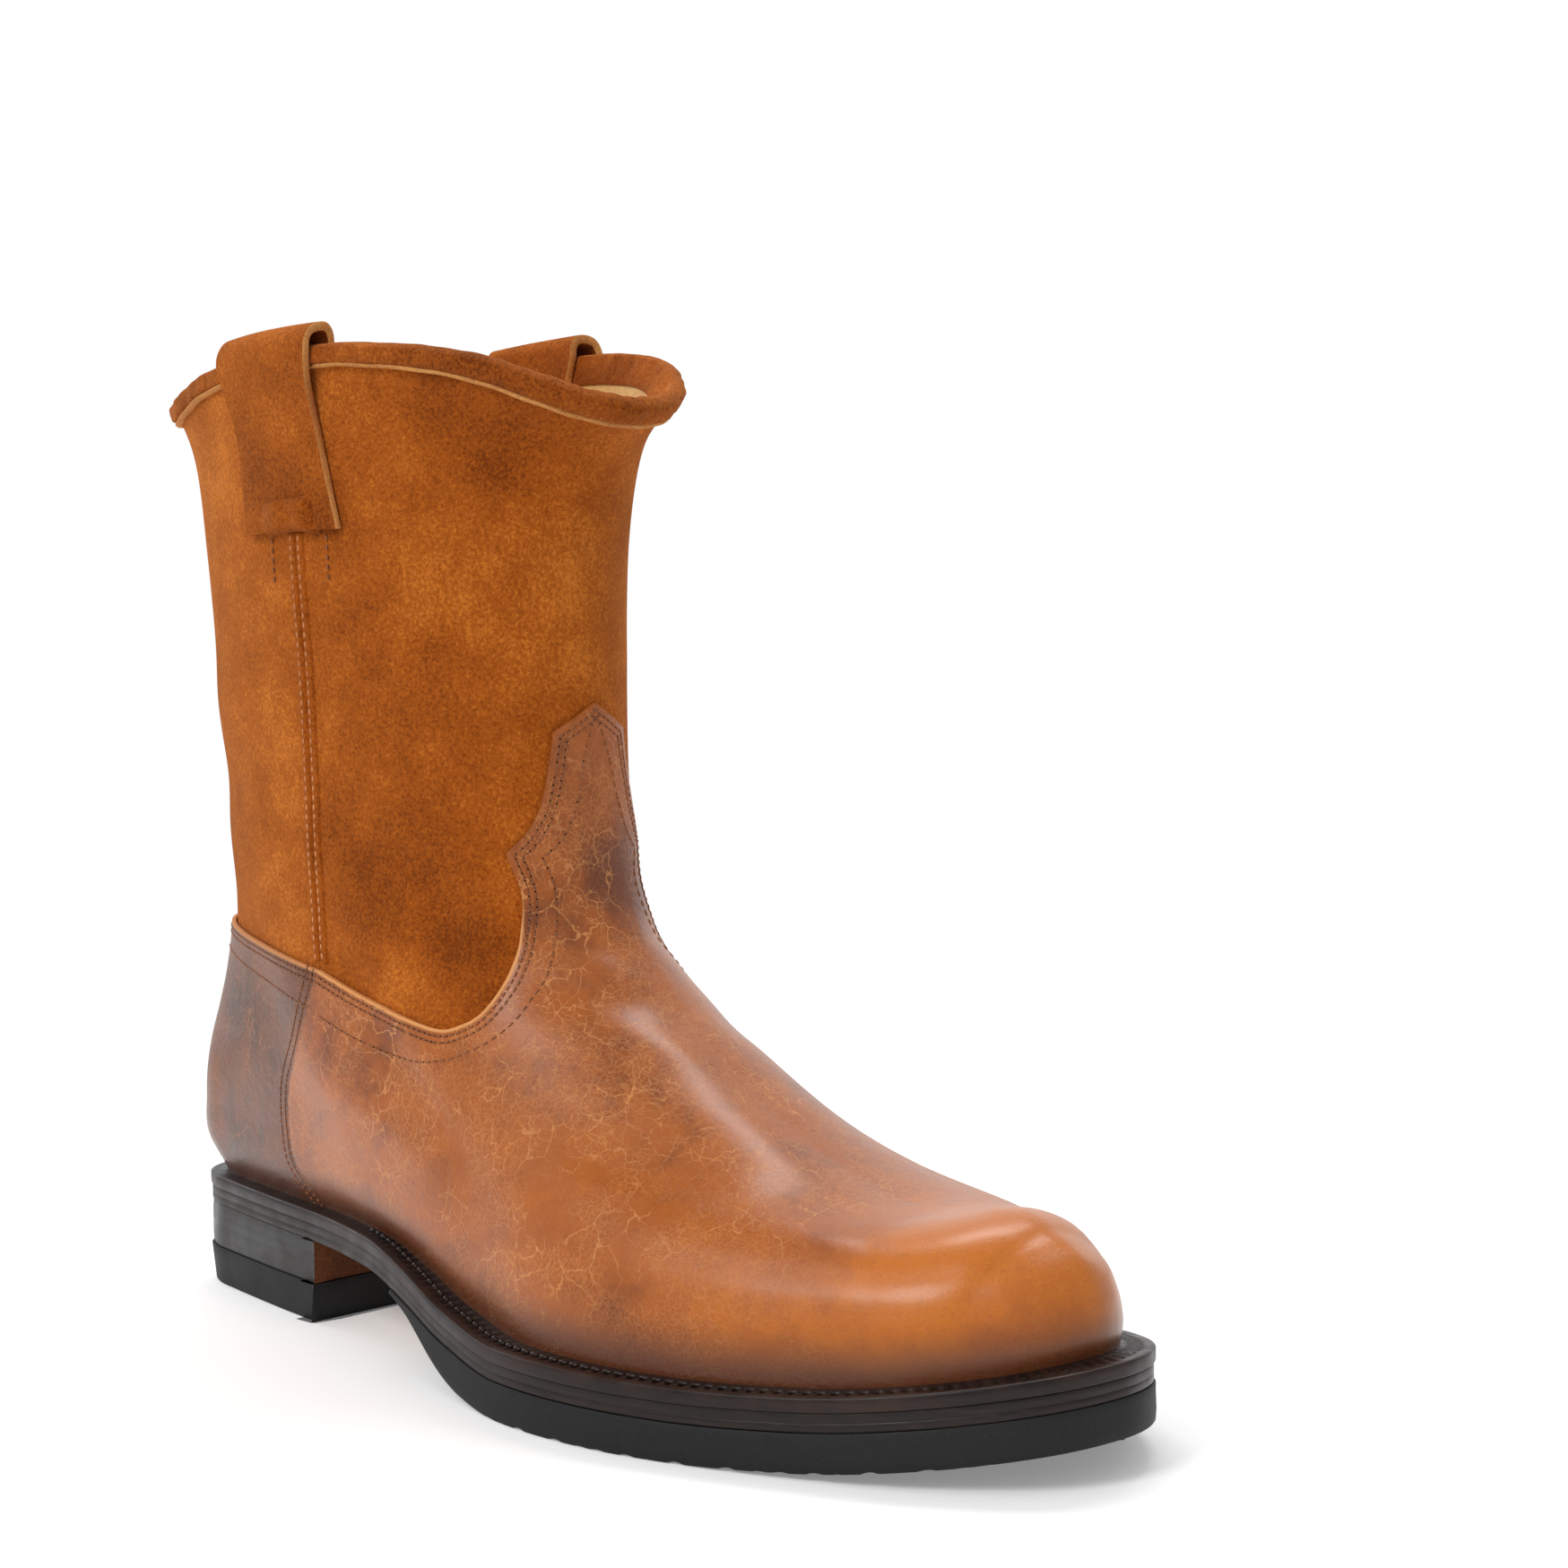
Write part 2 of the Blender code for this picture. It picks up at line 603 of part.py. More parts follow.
def counter(collection):
    """The heel's leather between the two foot seams, round the back."""
    top = rounded(COUNTER_TOP, 5)
    seam = seam_line(FOOT_SEAM, 8, SEAM_GAP / 2)
    under = below_welt(1.0, seam[-1, 0])
    half = np.vstack([under, seam[::-1], top[1:]])
    far = half[1:-1][::-1] * (-1.0, 1.0) + (2.0, 0.0)
    border = np.vstack([half, far])[::-1]
    return overlay("counter", border, "counter_leather", collection)


def sheet(name, near, far, coat, collection):
    """A closed sheet between two grids of the same rows and columns."""
    rows, columns = near.shape[:2]
    points = np.vstack([near.reshape(-1, 3), far.reshape(-1, 3)])
    count = rows * columns
    faces = []
    for row in range(rows - 1):
        for column in range(columns - 1):
            a = row * columns + column
            b, c, d = a + 1, a + columns + 1, a + columns
            faces += [(c, b, a), (d, c, a)]
            faces += [(a + count, b + count, c + count), (a + count, c + count, d + count)]
    for row in range(rows - 1):
        for column in (0, columns - 1):
            a = row * columns + column
            b = a + columns
            wall = (a, b, b + count, a + count)
            faces.append(wall if column else wall[::-1])
    for column in range(columns - 1):
        for row in (0, rows - 1):
            a = row * columns + column
            b = a + 1
            wall = (b, a, a + count, b + count)
            faces.append(wall if row else wall[::-1])
    return solid(name, points, faces, coat, collection)


def side_seam(name, side, collection):
    """The raised strip down the shaft's side, from the strap to the foot."""
    line = rounded(SIDE_SEAM, 12)
    half = u_per_metre(line) * SEAM_WIDTH / 2
    across = np.linspace(-1.0, 1.0, 3)
    u = side * (line[:, :1] + half[:, None] * across[None, :])
    t = line[:, 1:] + 0.0 * u
    near = surface_off(u, t, base_off(t) + GAP)
    far = surface_off(u, t, base_off(t) + GAP + SEAM_THICKNESS)
    order = slice(None, None, side)
    return sheet(name, near[:, order], far[:, order], "suede", collection)


def pull_strap(name, side, collection):
    """A pull strap: up the outside, over the collar and down the inside."""
    across = np.linspace(-1.0, 1.0, 5)
    rows = np.array([row[1:] for row in STRAP_PATH])
    t, off, up, facing_off, facing_up, middle, half = (column[:, None] for column in rows.T)
    u = side * (middle + half * across)
    off = 0.001 * off + 0.0 * u
    up = 0.001 * up + GAP
    near = surface_off(u, t, off)
    far = surface_off(u, t, off + STRAP_THICKNESS * facing_off)
    near[..., 2] += up
    far[..., 2] += up + STRAP_THICKNESS * facing_up
    order = slice(None, None, side)
    return sheet(name, near[:, order], far[:, order], "suede", collection)


def collar_binding(collection):
    """The folded band over the collar's edge."""
    low, top = BINDING_LEVELS
    back = -(WALL + GAP)
    section = (
        # t, off
        (low, GAP),
        (low, GAP + BINDING),
        (top + BINDING_TOP, GAP + BINDING),
        (top + BINDING_TOP, back - BINDING),
        (low, back - BINDING),
        (low, back),
        (top + CROWN, back),
        (top + CROWN, GAP),
    )
    rings = [ring_points(t, off) for t, off in section]
    points = np.vstack(rings)
    points[:, 2] += GAP
    faces = lattice(len(section), COLUMNS, 0)
    last = (len(section) - 1) * COLUMNS
    for column in range(COLUMNS):
        after = (column + 1) % COLUMNS
        faces += [(last + column, last + after, after), (last + column, after, column)]
    return solid("collar_binding", points, faces, "suede_dark", collection)


def plate(sides, bottom, top, start, end, batter=0.0):
    """Points and faces of a plate lofted along X through the stations between its ends."""
    clear = TIP_CUT + TIP_STEP
    first = start if start > sides.start else sides.start + TIP_CUT
    last = end if end < sides.end else sides.end - TIP_CUT
    near = [first + TIP_STEP] if start <= sides.start else []
    far = [last - TIP_STEP] if end >= sides.end else []
    between = [x for x in STATIONS if first + clear < x < last - clear]
    xs = np.array([first, *near, *between, *far, last])
    low_y, high_y = sides.y(-1, xs), sides.y(1, xs)
    points = np.stack(
        [
            np.c_[xs, low_y + batter, bottom(xs)],
            np.c_[xs, high_y - batter, bottom(xs)],
            np.c_[xs, high_y, top(xs)],
            np.c_[xs, low_y, top(xs)],
        ],
        axis=1,
    ).reshape(-1, 3)
    faces = [(3, 2, 1, 0)]
    for k in range(len(xs) - 1):
        for i in range(4):
            a, b = 4 * k + i, 4 * k + (i + 1) % 4
            faces.append((a, b, b + 4, a + 4))
    end_face = 4 * (len(xs) - 1)
    faces.append((end_face, end_face + 1, end_face + 2, end_face + 3))
    return points, faces


def edge_sides(by):
    """The two edges of the sole's outline moved inwards."""
    return Sides(inset(EDGE, by))


def leather_bottom(x):
    return welt_top(x) - LEATHER_THICKNESS


def rubber_bottom(x):
    """Level under the ball, lifted at the toe, run out at the waist."""
    low = np.maximum(welt_top(x) - FOREFOOT_THICKNESS, 0.0)
    ramp = eased((x - RUBBER_START) / RUBBER_RAMP)
    high = leather_bottom(x) - GAP - RUBBER_EDGE
    return high * (1.0 - ramp) + low * ramp


def level(height):
    """A height that is the same all along the sole."""
    return lambda x: height + 0.0 * x


def under_top(drop):
    """A height that follows the welt's top, this much lower."""
    return lambda x: welt_top(x) - drop


def welt(collection):
    """The stitched strip under the upper's edge."""
    points, faces = plate(edge_sides(0.0), under_top(WELT_THICKNESS), welt_top, BACK, FRONT)
    made = solid("welt", points, faces, "welt_leather", collection)
    hole = plate(edge_sides(WELT_BAND), under_top(2.0 * WELT_THICKNESS),
                 under_top(-WELT_THICKNESS), BACK, FRONT)
    boolean(made, helper("welt_hole", *hole), "DIFFERENCE")
    return made


def sole_plates(collection):
    """The leather sole, the half sole of rubber, the stacked heel and its cap."""
    leather = plate(edge_sides(LEATHER_INSET), leather_bottom, under_top(WELT_THICKNESS + GAP),
                    BACK, FRONT)
    rubber = plate(edge_sides(0.0), rubber_bottom, under_top(LEATHER_THICKNESS + GAP),
                   RUBBER_START, FRONT)
    stack = plate(edge_sides(LEATHER_INSET), level(CAP_THICKNESS + GAP),
                  under_top(LEATHER_THICKNESS + GAP), BACK, BREAST)
    cap = plate(edge_sides(0.0), level(0.0), level(CAP_THICKNESS), BACK, BREAST, HEEL_BATTER)
    solid("outsole_leather", *leather, "edge_leather", collection)
    solid("forefoot_rubber", *rubber, "rubber", collection)
    solid("heel_stack", *stack, "stack_leather", collection)
    solid("heel_cap", *cap, "rubber", collection)


def insole(collection):
    """The footbed, with its underside filling the space inside the welt."""
    bed = plate(edge_sides(LEDGES + GAP + OVERLAY + WALL + INSOLE_CLEARANCE), under_top(-GAP),
                under_top(-GAP - INSOLE_THICKNESS), BACK, FRONT)
    made = solid("insole", *bed, "lining_leather", collection)
    filler = plate(edge_sides(WELT_BAND + GAP), under_top(WELT_THICKNESS),
                   under_top(-INSOLE_THICKNESS / 2), BACK, FRONT)
    boolean(made, helper("insole_filler", *filler), "UNION")
    return made


def clear_scene():
    for item in list(bpy.data.objects):
        bpy.data.objects.remove(item, do_unlink=True)


clear_scene()
BOOT = bpy.data.collections.new("roper_boot")
CUTTERS = bpy.data.collections.new("cutters")
for group in (BOOT, CUTTERS):
    bpy.context.scene.collection.children.link(group)

insole(BOOT)
welt(BOOT)
sole_plates(BOOT)
upper(BOOT)
vamp(BOOT)
counter(BOOT)
collar_binding(BOOT)
side_seam("side_seam_lateral", -1, BOOT)
side_seam("side_seam_medial", 1, BOOT)
pull_strap("pull_strap_lateral", -1, BOOT)
pull_strap("pull_strap_medial", 1, BOOT)
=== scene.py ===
"""A right roper boot with a suede shaft and a waxed leather foot, in a plain pale studio."""

import logging
import math
from dataclasses import dataclass
from enum import Enum
from typing import Callable, Sequence

import bmesh
import bpy
import numpy as np
from mathutils import Matrix, Vector
from mathutils.geometry import delaunay_2d_cdt


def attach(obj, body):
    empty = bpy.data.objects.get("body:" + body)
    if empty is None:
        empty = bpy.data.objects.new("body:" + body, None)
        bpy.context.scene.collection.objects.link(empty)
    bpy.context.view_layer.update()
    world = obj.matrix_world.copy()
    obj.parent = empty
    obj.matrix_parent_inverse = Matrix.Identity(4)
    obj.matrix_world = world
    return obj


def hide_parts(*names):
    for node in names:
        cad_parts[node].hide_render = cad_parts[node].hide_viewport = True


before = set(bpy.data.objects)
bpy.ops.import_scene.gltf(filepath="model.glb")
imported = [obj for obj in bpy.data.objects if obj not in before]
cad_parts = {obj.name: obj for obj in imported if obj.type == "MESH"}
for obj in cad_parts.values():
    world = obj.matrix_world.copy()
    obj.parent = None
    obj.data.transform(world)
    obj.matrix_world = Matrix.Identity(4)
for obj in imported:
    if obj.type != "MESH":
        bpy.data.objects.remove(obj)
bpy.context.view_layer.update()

LOG = logging.getLogger("roper_boot")
MM = 0.001
Array = np.ndarray
Places = Sequence[tuple[float, float]]
Place = Callable[[Array, Array], Array]
Height = Callable[[Array], Array]


class Side(Enum):
    """The two sides of the boot, as the sign of y."""

    LATERAL = -1
    MEDIAL = 1


# Curves


def eased(value: Array | float) -> Array:
    """Smooth step from 0 to 1.

    Args:
        value: Where along the step, 0 to 1.

    Returns:
        The eased share.
    """
    value = np.clip(value, 0.0, 1.0)
    return value * value * (3.0 - 2.0 * value)


def through(xs: Array, ys: Array, x: Array, level: bool = False) -> Array:
    """A smooth curve through points.

    Args:
        xs: The points' places, rising.
        ys: The points' values.
        x: Where to read the curve.
        level: Whether equal neighbours stay level.

    Returns:
        The curve's values.
    """
    xs, ys, x = (np.asarray(v, float) for v in (xs, ys, x))
    step = np.diff(xs)
    rise = np.diff(ys) / step
    slope = np.concatenate([rise[:1], rise[:1], rise[1:]])[: len(xs)]
    slope[0], slope[-1] = rise[0], rise[-1]
    if level:
        turn = rise[:-1] * rise[1:] <= 0.0
        total = np.where(turn, 1.0, rise[:-1] + rise[1:])
        slope[1:-1] = np.where(turn, 0.0, 2.0 * rise[:-1] * rise[1:] / total)
    else:
        slope[1:-1] = (rise[:-1] * step[1:] + rise[1:] * step[:-1]) / (step[:-1] + step[1:])
    i = np.clip(np.searchsorted(xs, x) - 1, 0, len(step) - 1)
    t = np.clip((x - xs[i]) / step[i], 0.0, 1.0)
    return (
        (2 * t**3 - 3 * t**2 + 1) * ys[i]
        + (t**3 - 2 * t**2 + t) * step[i] * slope[i]
        + (3 * t**2 - 2 * t**3) * ys[i + 1]
        + (t**3 - t**2) * step[i] * slope[i + 1]
    )


def closed_curve(points: Array, count: int) -> Array:
    """A closed centripetal curve through plan points.

    Args:
        points: The points, in order.
        count: How many places to return.

    Returns:
        The curve's places.
    """
    loop = np.vstack([points, points[:1]])
    knots = np.r_[0.0, np.cumsum(np.hypot(*np.diff(loop, axis=0).T) ** 0.5)]
    around = np.vstack([loop[-2], loop, loop[1]])
    times = np.r_[knots[0] - knots[-1] + knots[-2], knots, knots[-1] + knots[1]]
    u = np.linspace(0.0, knots[-1], count, endpoint=False)
    i = np.clip(np.searchsorted(knots, u, side="right"), 1, len(knots) - 1)

    def mix(a: Array, b: Array, ta: Array, tb: Array) -> Array:
        """A straight blend from a at ta to b at tb."""
        return a + (b - a) * ((u - ta) / (tb - ta))[:, None]

    t0, t1, t2, t3 = (times[i + k] for k in (-1, 0, 1, 2))
    p0, p1, p2, p3 = (around[i + k] for k in (-1, 0, 1, 2))
    a1, a2, a3 = mix(p0, p1, t0, t1), mix(p1, p2, t1, t2), mix(p2, p3, t2, t3)
    return mix(mix(a1, a2, t0, t2), mix(a2, a3, t1, t3), t1, t2)


def inset(loop: Array, by: Array | float) -> Array:
    """The plan loop moved inwards by this much at each point."""
    along = np.roll(loop, -1, axis=0) - np.roll(loop, 1, axis=0)
    along /= np.hypot(*along.T)[:, None]
    inward = np.c_[-along[:, 1], along[:, 0]]
    return loop + inward * np.reshape(by, (-1, 1))


def column_share(u: Array) -> Array:
    """From the back (0) to the front (1) for a place round the foot."""
    away = 1.0 - np.abs((np.asarray(u, float) + 1.0) % 2.0 - 1.0)
    return (1.0 - np.cos(np.pi * away)) / 2.0


class Sides:
    """A plan loop as two edges, each giving y for x."""

    def __init__(self, loop: Array) -> None:
        """Splits the loop at its rearmost and foremost points.

        Args:
            loop: The plan loop, along the outer side first.
        """
        back = int(loop[:, 0].argmin())
        front = (int(loop[:, 0].argmax()) - back) % len(loop)
        loop = np.roll(loop, -back, axis=0)
        self.lateral = loop[: front + 1]
        self.medial = np.vstack([loop[front:], loop[:1]])[::-1]
        self.start = float(loop[0, 0])
        self.end = float(loop[front, 0])

    def edge(self, side: Side) -> Array:
        """The edge on one side, from back to front."""
        return self.lateral if side is Side.LATERAL else self.medial

    def y(self, side: Side, x: Array) -> Array:
        """The edge's y on one side at x."""
        edge = self.edge(side)
        return np.interp(x, np.maximum.accumulate(edge[:, 0]), edge[:, 1])

    def widest(self, side: Side) -> float:
        """The largest half width on one side."""
        return float(np.abs(self.edge(side)[:, 1]).max())


# The boot's form: the same sizes as the solids


@dataclass
class Last:
    """The form that the whole boot is built on, in metres.

    A place on the upper is u, round the foot (-1 back, 0 front, 1 back again), and t, up
    through the rings from the welt.
    """

    length: float = 0.3109
    ball_width: float = 0.1146
    collar_height: float = 0.2492
    heel_height: float = 0.0305
    heel_half_width: float = 0.0267
    forefoot_thickness: float = 0.0171
    toe_spring: float = 0.0095
    tip_offset: float = 0.0042
    heel_middle: float = 0.035
    gap: float = 0.0003
    overlay: float = 0.0012
    wall: float = 0.0022
    welt_ledge: float = 0.0083
    waist_ledge: float = 0.0056
    heel_ledge: float = 0.0046
    # share of length, then outer and inner edge over ball_width
    outline: tuple = (
        (0.004, 0.083, 0.083),
        (0.018, 0.154, 0.156),
        (0.042, 0.192, 0.199),
        (0.077, 0.213, 0.236),
        (0.154, 0.250, 0.277),
        (0.251, 0.292, 0.284),
        (0.354, 0.365, 0.273),
        (0.466, 0.457, 0.300),
        (0.579, 0.527, 0.392),
        (0.669, 0.523, 0.454),
        (0.753, 0.468, 0.468),
        (0.830, 0.395, 0.438),
        (0.894, 0.322, 0.377),
        (0.942, 0.239, 0.297),
        (0.975, 0.162, 0.207),
        (0.993, 0.083, 0.124),
    )
    # share of length, share of the heel's lift, share of the toe spring
    welt_profile: tuple = (
        (0.000, 1.000, 0.0),
        (0.193, 0.945, 0.0),
        (0.322, 0.888, 0.0),
        (0.402, 0.604, 0.0),
        (0.482, 0.209, 0.0),
        (0.563, 0.000, 0.0),
        (0.643, 0.000, 0.0),
        (0.724, 0.000, 0.0),
        (0.820, 0.000, 0.12),
        (0.917, 0.000, 0.50),
        (1.000, 0.000, 1.00),
    )
    # name, back x, back z, front x, front z, outer, inner, heel, ridge y, foot, down
    rings: tuple = (
        ("wall low", -0.008, 0.161, 0.974, 0.132, 0.452, 0.410, 0.254, 0.026, 0.99, 0.012),
        ("wall high", -0.008, 0.201, 0.963, 0.176, 0.433, 0.395, 0.261, 0.035, 0.95, 0.048),
        ("toe edge", -0.005, 0.237, 0.934, 0.213, 0.406, 0.382, 0.266, 0.044, 0.88, 0.054),
        ("toe top", 0.002, 0.273, 0.868, 0.196, 0.381, 0.366, 0.267, 0.044, 0.80, -0.002),
        ("vamp low", 0.012, 0.309, 0.791, 0.197, 0.359, 0.350, 0.268, 0.044, 0.69, -0.006),
        ("vamp middle", 0.022, 0.349, 0.708, 0.233, 0.343, 0.337, 0.270, 0.044, 0.53, -0.012),
        ("vamp high", 0.030, 0.389, 0.621, 0.292, 0.337, 0.328, 0.276, 0.035, 0.36, -0.018),
        ("throat low", 0.035, 0.433, 0.532, 0.368, 0.339, 0.325, 0.284, 0.026, 0.20, -0.008),
        ("throat", 0.039, 0.486, 0.479, 0.454, 0.344, 0.329, 0.289, 0.017, 0.10, 0.000),
        ("ankle", 0.039, 0.570, 0.466, 0.570, 0.355, 0.344, 0.293, 0.009, 0.00, 0.000),
        ("shaft low", 0.035, 0.674, 0.465, 0.686, 0.366, 0.363, 0.298, 0.000, 0.00, 0.000),
        ("shaft middle", 0.025, 0.790, 0.465, 0.803, 0.376, 0.379, 0.304, 0.000, 0.00, 0.000),
        ("shaft high", 0.008, 0.887, 0.485, 0.895, 0.382, 0.392, 0.309, 0.000, 0.00, 0.000),
        ("collar", -0.022, 0.947, 0.530, 0.947, 0.401, 0.401, 0.314, 0.000, 0.00, 0.000),
    )
    # share from back to front, rise over collar_height
    collar_rise: tuple = (
        (0.00, 0.010),
        (0.12, 0.010),
        (0.30, 0.036),
        (0.50, 0.053),
        (0.70, 0.055),
        (0.88, 0.034),
        (1.00, -0.006),
    )
    profile_rings: float = 6.0
    fore_start: float = 0.25
    fore_span: float = 0.30
    rise_rings: float = 3.5
    drop_per_ring: float = 0.01
    drop_forward: float = 4.0
    # where the forefoot's rings are blended: start, rise, end, fall
    blend: tuple = (1.0, 1.6, 8.4, 2.0)
    blend_rings: float = 1.15
    # step as a share of blend_rings, weight
    blend_weights: tuple = ((-1.0, 0.18), (-0.5, 0.20), (0.0, 0.24), (0.5, 0.20), (1.0, 0.18))
    flush_start: float = 8.0
    flush_rings: float = 2.0
    edge_points: int = 1440

    def __post_init__(self) -> None:
        """Works out the sole's edge, the feather line and the ring table."""
        rows = np.array(self.outline) * (self.length, self.ball_width, self.ball_width)
        lateral = rows[:, :2] * (1.0, -1.0)
        medial = rows[::-1][:, [0, 2]]
        toe = (self.length, self.tip_offset)
        around = np.vstack([(0.0, 0.0), lateral, toe, medial])
        self.edge = closed_curve(around, self.edge_points)
        at = (0.0, 0.3 * self.length, 0.5 * self.length)
        ledges = (self.heel_ledge, self.waist_ledge, self.welt_ledge)
        self.ledges = np.interp(self.edge[:, 0], at, ledges)
        self.feather = Sides(inset(self.edge, self.ledges))
        top = self.welt_top(np.array([self.feather.start, self.feather.end]))
        first = (
            self.feather.start, top[0], self.feather.end, top[1], self.feather.widest(Side.LATERAL),
            self.feather.widest(Side.MEDIAL), self.heel_half_width, self.tip_offset, 1.0, 0.0,
        )
        tall = self.collar_height
        sizes = (self.length, tall, self.length, tall) + (self.ball_width,) * 4 + (1.0, tall)
        self.table = np.vstack([first, [np.multiply(row[1:], sizes) for row in self.rings]])
        self.top_ring = len(self.table) - 1

    def welt_top(self, x: Array) -> Array:
        """The height of the welt's top at x, counted from the back of the sole."""
        rows = np.array(self.welt_profile)
        arch = through(rows[:, 0], rows[:, 1], x / self.length, level=True)
        spring = through(rows[:, 0], rows[:, 2], x / self.length, level=True)
        lift = self.heel_height - self.forefoot_thickness
        return self.forefoot_thickness + arch * lift + spring * self.toe_spring

    def surface(self, u: Array, t: Array) -> Array:
        """Points of the upper's outside, with the forefoot's rings softly blended.

        Args:
            u: Places round the foot.
            t: Places up through the rings. Below 0 it runs straight down, and past the
                collar it runs on along its slope.

        Returns:
            Points, counted from the back of the sole.
        """
        u, t = np.broadcast_arrays(np.asarray(u, float), np.asarray(t, float))
        low, rise, high, fall = self.blend
        reach = self.blend_rings * eased((t - low) / rise) * eased((high - t) / fall)
        reach = reach * eased((column_share(u) - self.fore_start) / self.fore_span)
        points = 0.0
        for step, weight in self.blend_weights:
            points = points + weight * self.rings_at(u, t + step * reach)
        return points

    def rings_at(self, u: Array, t: Array) -> Array:
        """Points on the rings as the table gives them.

        Args:
            u: Places round the foot.
            t: Places up through the rings.

        Returns:
            Points, counted from the back of the sole.
        """
        up = np.clip(t, 0.0, self.top_ring)
        back_x, back_z, front_x, front_z, lateral, medial, heel, ridge, foot, down = (
            through(np.arange(self.top_ring + 1.0), column, up) for column in self.table.T
        )
        share = column_share(u)
        outer = (u + 1.0) % 2.0 < 1.0
        side = np.where(outer, -1.0, 1.0)
        x = back_x + (front_x - back_x) * share
        low_x = self.feather.start + (self.feather.end - self.feather.start) * share
        flat = self.table[0, 1] + (self.table[0, 3] - self.table[0, 1]) * share
        z = back_z + (front_z - back_z) * share
        z += (self.welt_top(low_x) - flat) * np.clip(1.0 - up / self.profile_rings, 0.0, 1.0) ** 2
        rise = np.array(self.collar_rise)
        near_top = eased((up - self.top_ring + self.rise_rings) / self.rise_rings)
        z += near_top * through(*rise.T, share) * self.collar_height
        print_y = np.where(outer, *(self.feather.y(each, low_x) for each in Side))
        width = np.where(outer, lateral, medial)
        first = np.where(outer, self.table[0, 4], self.table[0, 5])
        fore = eased((share - self.fore_start) / self.fore_span)
        scale = (1.0 - fore) * heel / self.heel_half_width + fore * width / first
        oval = np.sqrt(np.maximum(1.0 - (2.0 * share - 1.0) ** 2, 0.0))
        y = foot * print_y * scale + (1.0 - foot) * (ridge * share**2 + side * width * oval)
        z -= down * oval * share**self.drop_forward
        points = np.stack([x, y, z + np.minimum(t, 0.0) * self.drop_per_ring], axis=-1)
        over = np.maximum(t - self.top_ring, 0.0)[..., None]
        if over.any():
            short = 0.1
            top = self.rings_at(u, np.full_like(u, self.top_ring))
            below = self.rings_at(u, np.full_like(u, self.top_ring - short))
            points = points + over / short * (top - below)
        return points

    def normals(self, u: Array, t: Array) -> Array:
        """Outward directions of the upper's outside, level at the welt."""
        beside = 1e-4
        above = 0.01
        on = np.clip(t, 0.0, self.top_ring)
        along = self.surface(u + beside, on) - self.surface(u - beside, on)
        high = self.surface(u, np.minimum(on + above, self.top_ring))
        normal = np.cross(along, high - self.surface(u, np.maximum(on - above, 0.0)))
        normal[..., 2] *= eased(t)
        return normal / np.linalg.norm(normal, axis=-1)[..., None]

    def base_off(self, t: Array) -> Array:
        """How far the shaft's leather sits under the overlays' outside."""
        flush = eased((np.asarray(t, float) - self.flush_start) / self.flush_rings)
        return -(self.gap + self.overlay) * (1.0 - flush)


LAST = Last()


# Folds and places along the upper


@dataclass(frozen=True)
class Fold:
    """A soft trough (depth below 0) or ridge along a path of u and t, in millimetres."""

    name: str
    depth: float
    width: float
    path: tuple


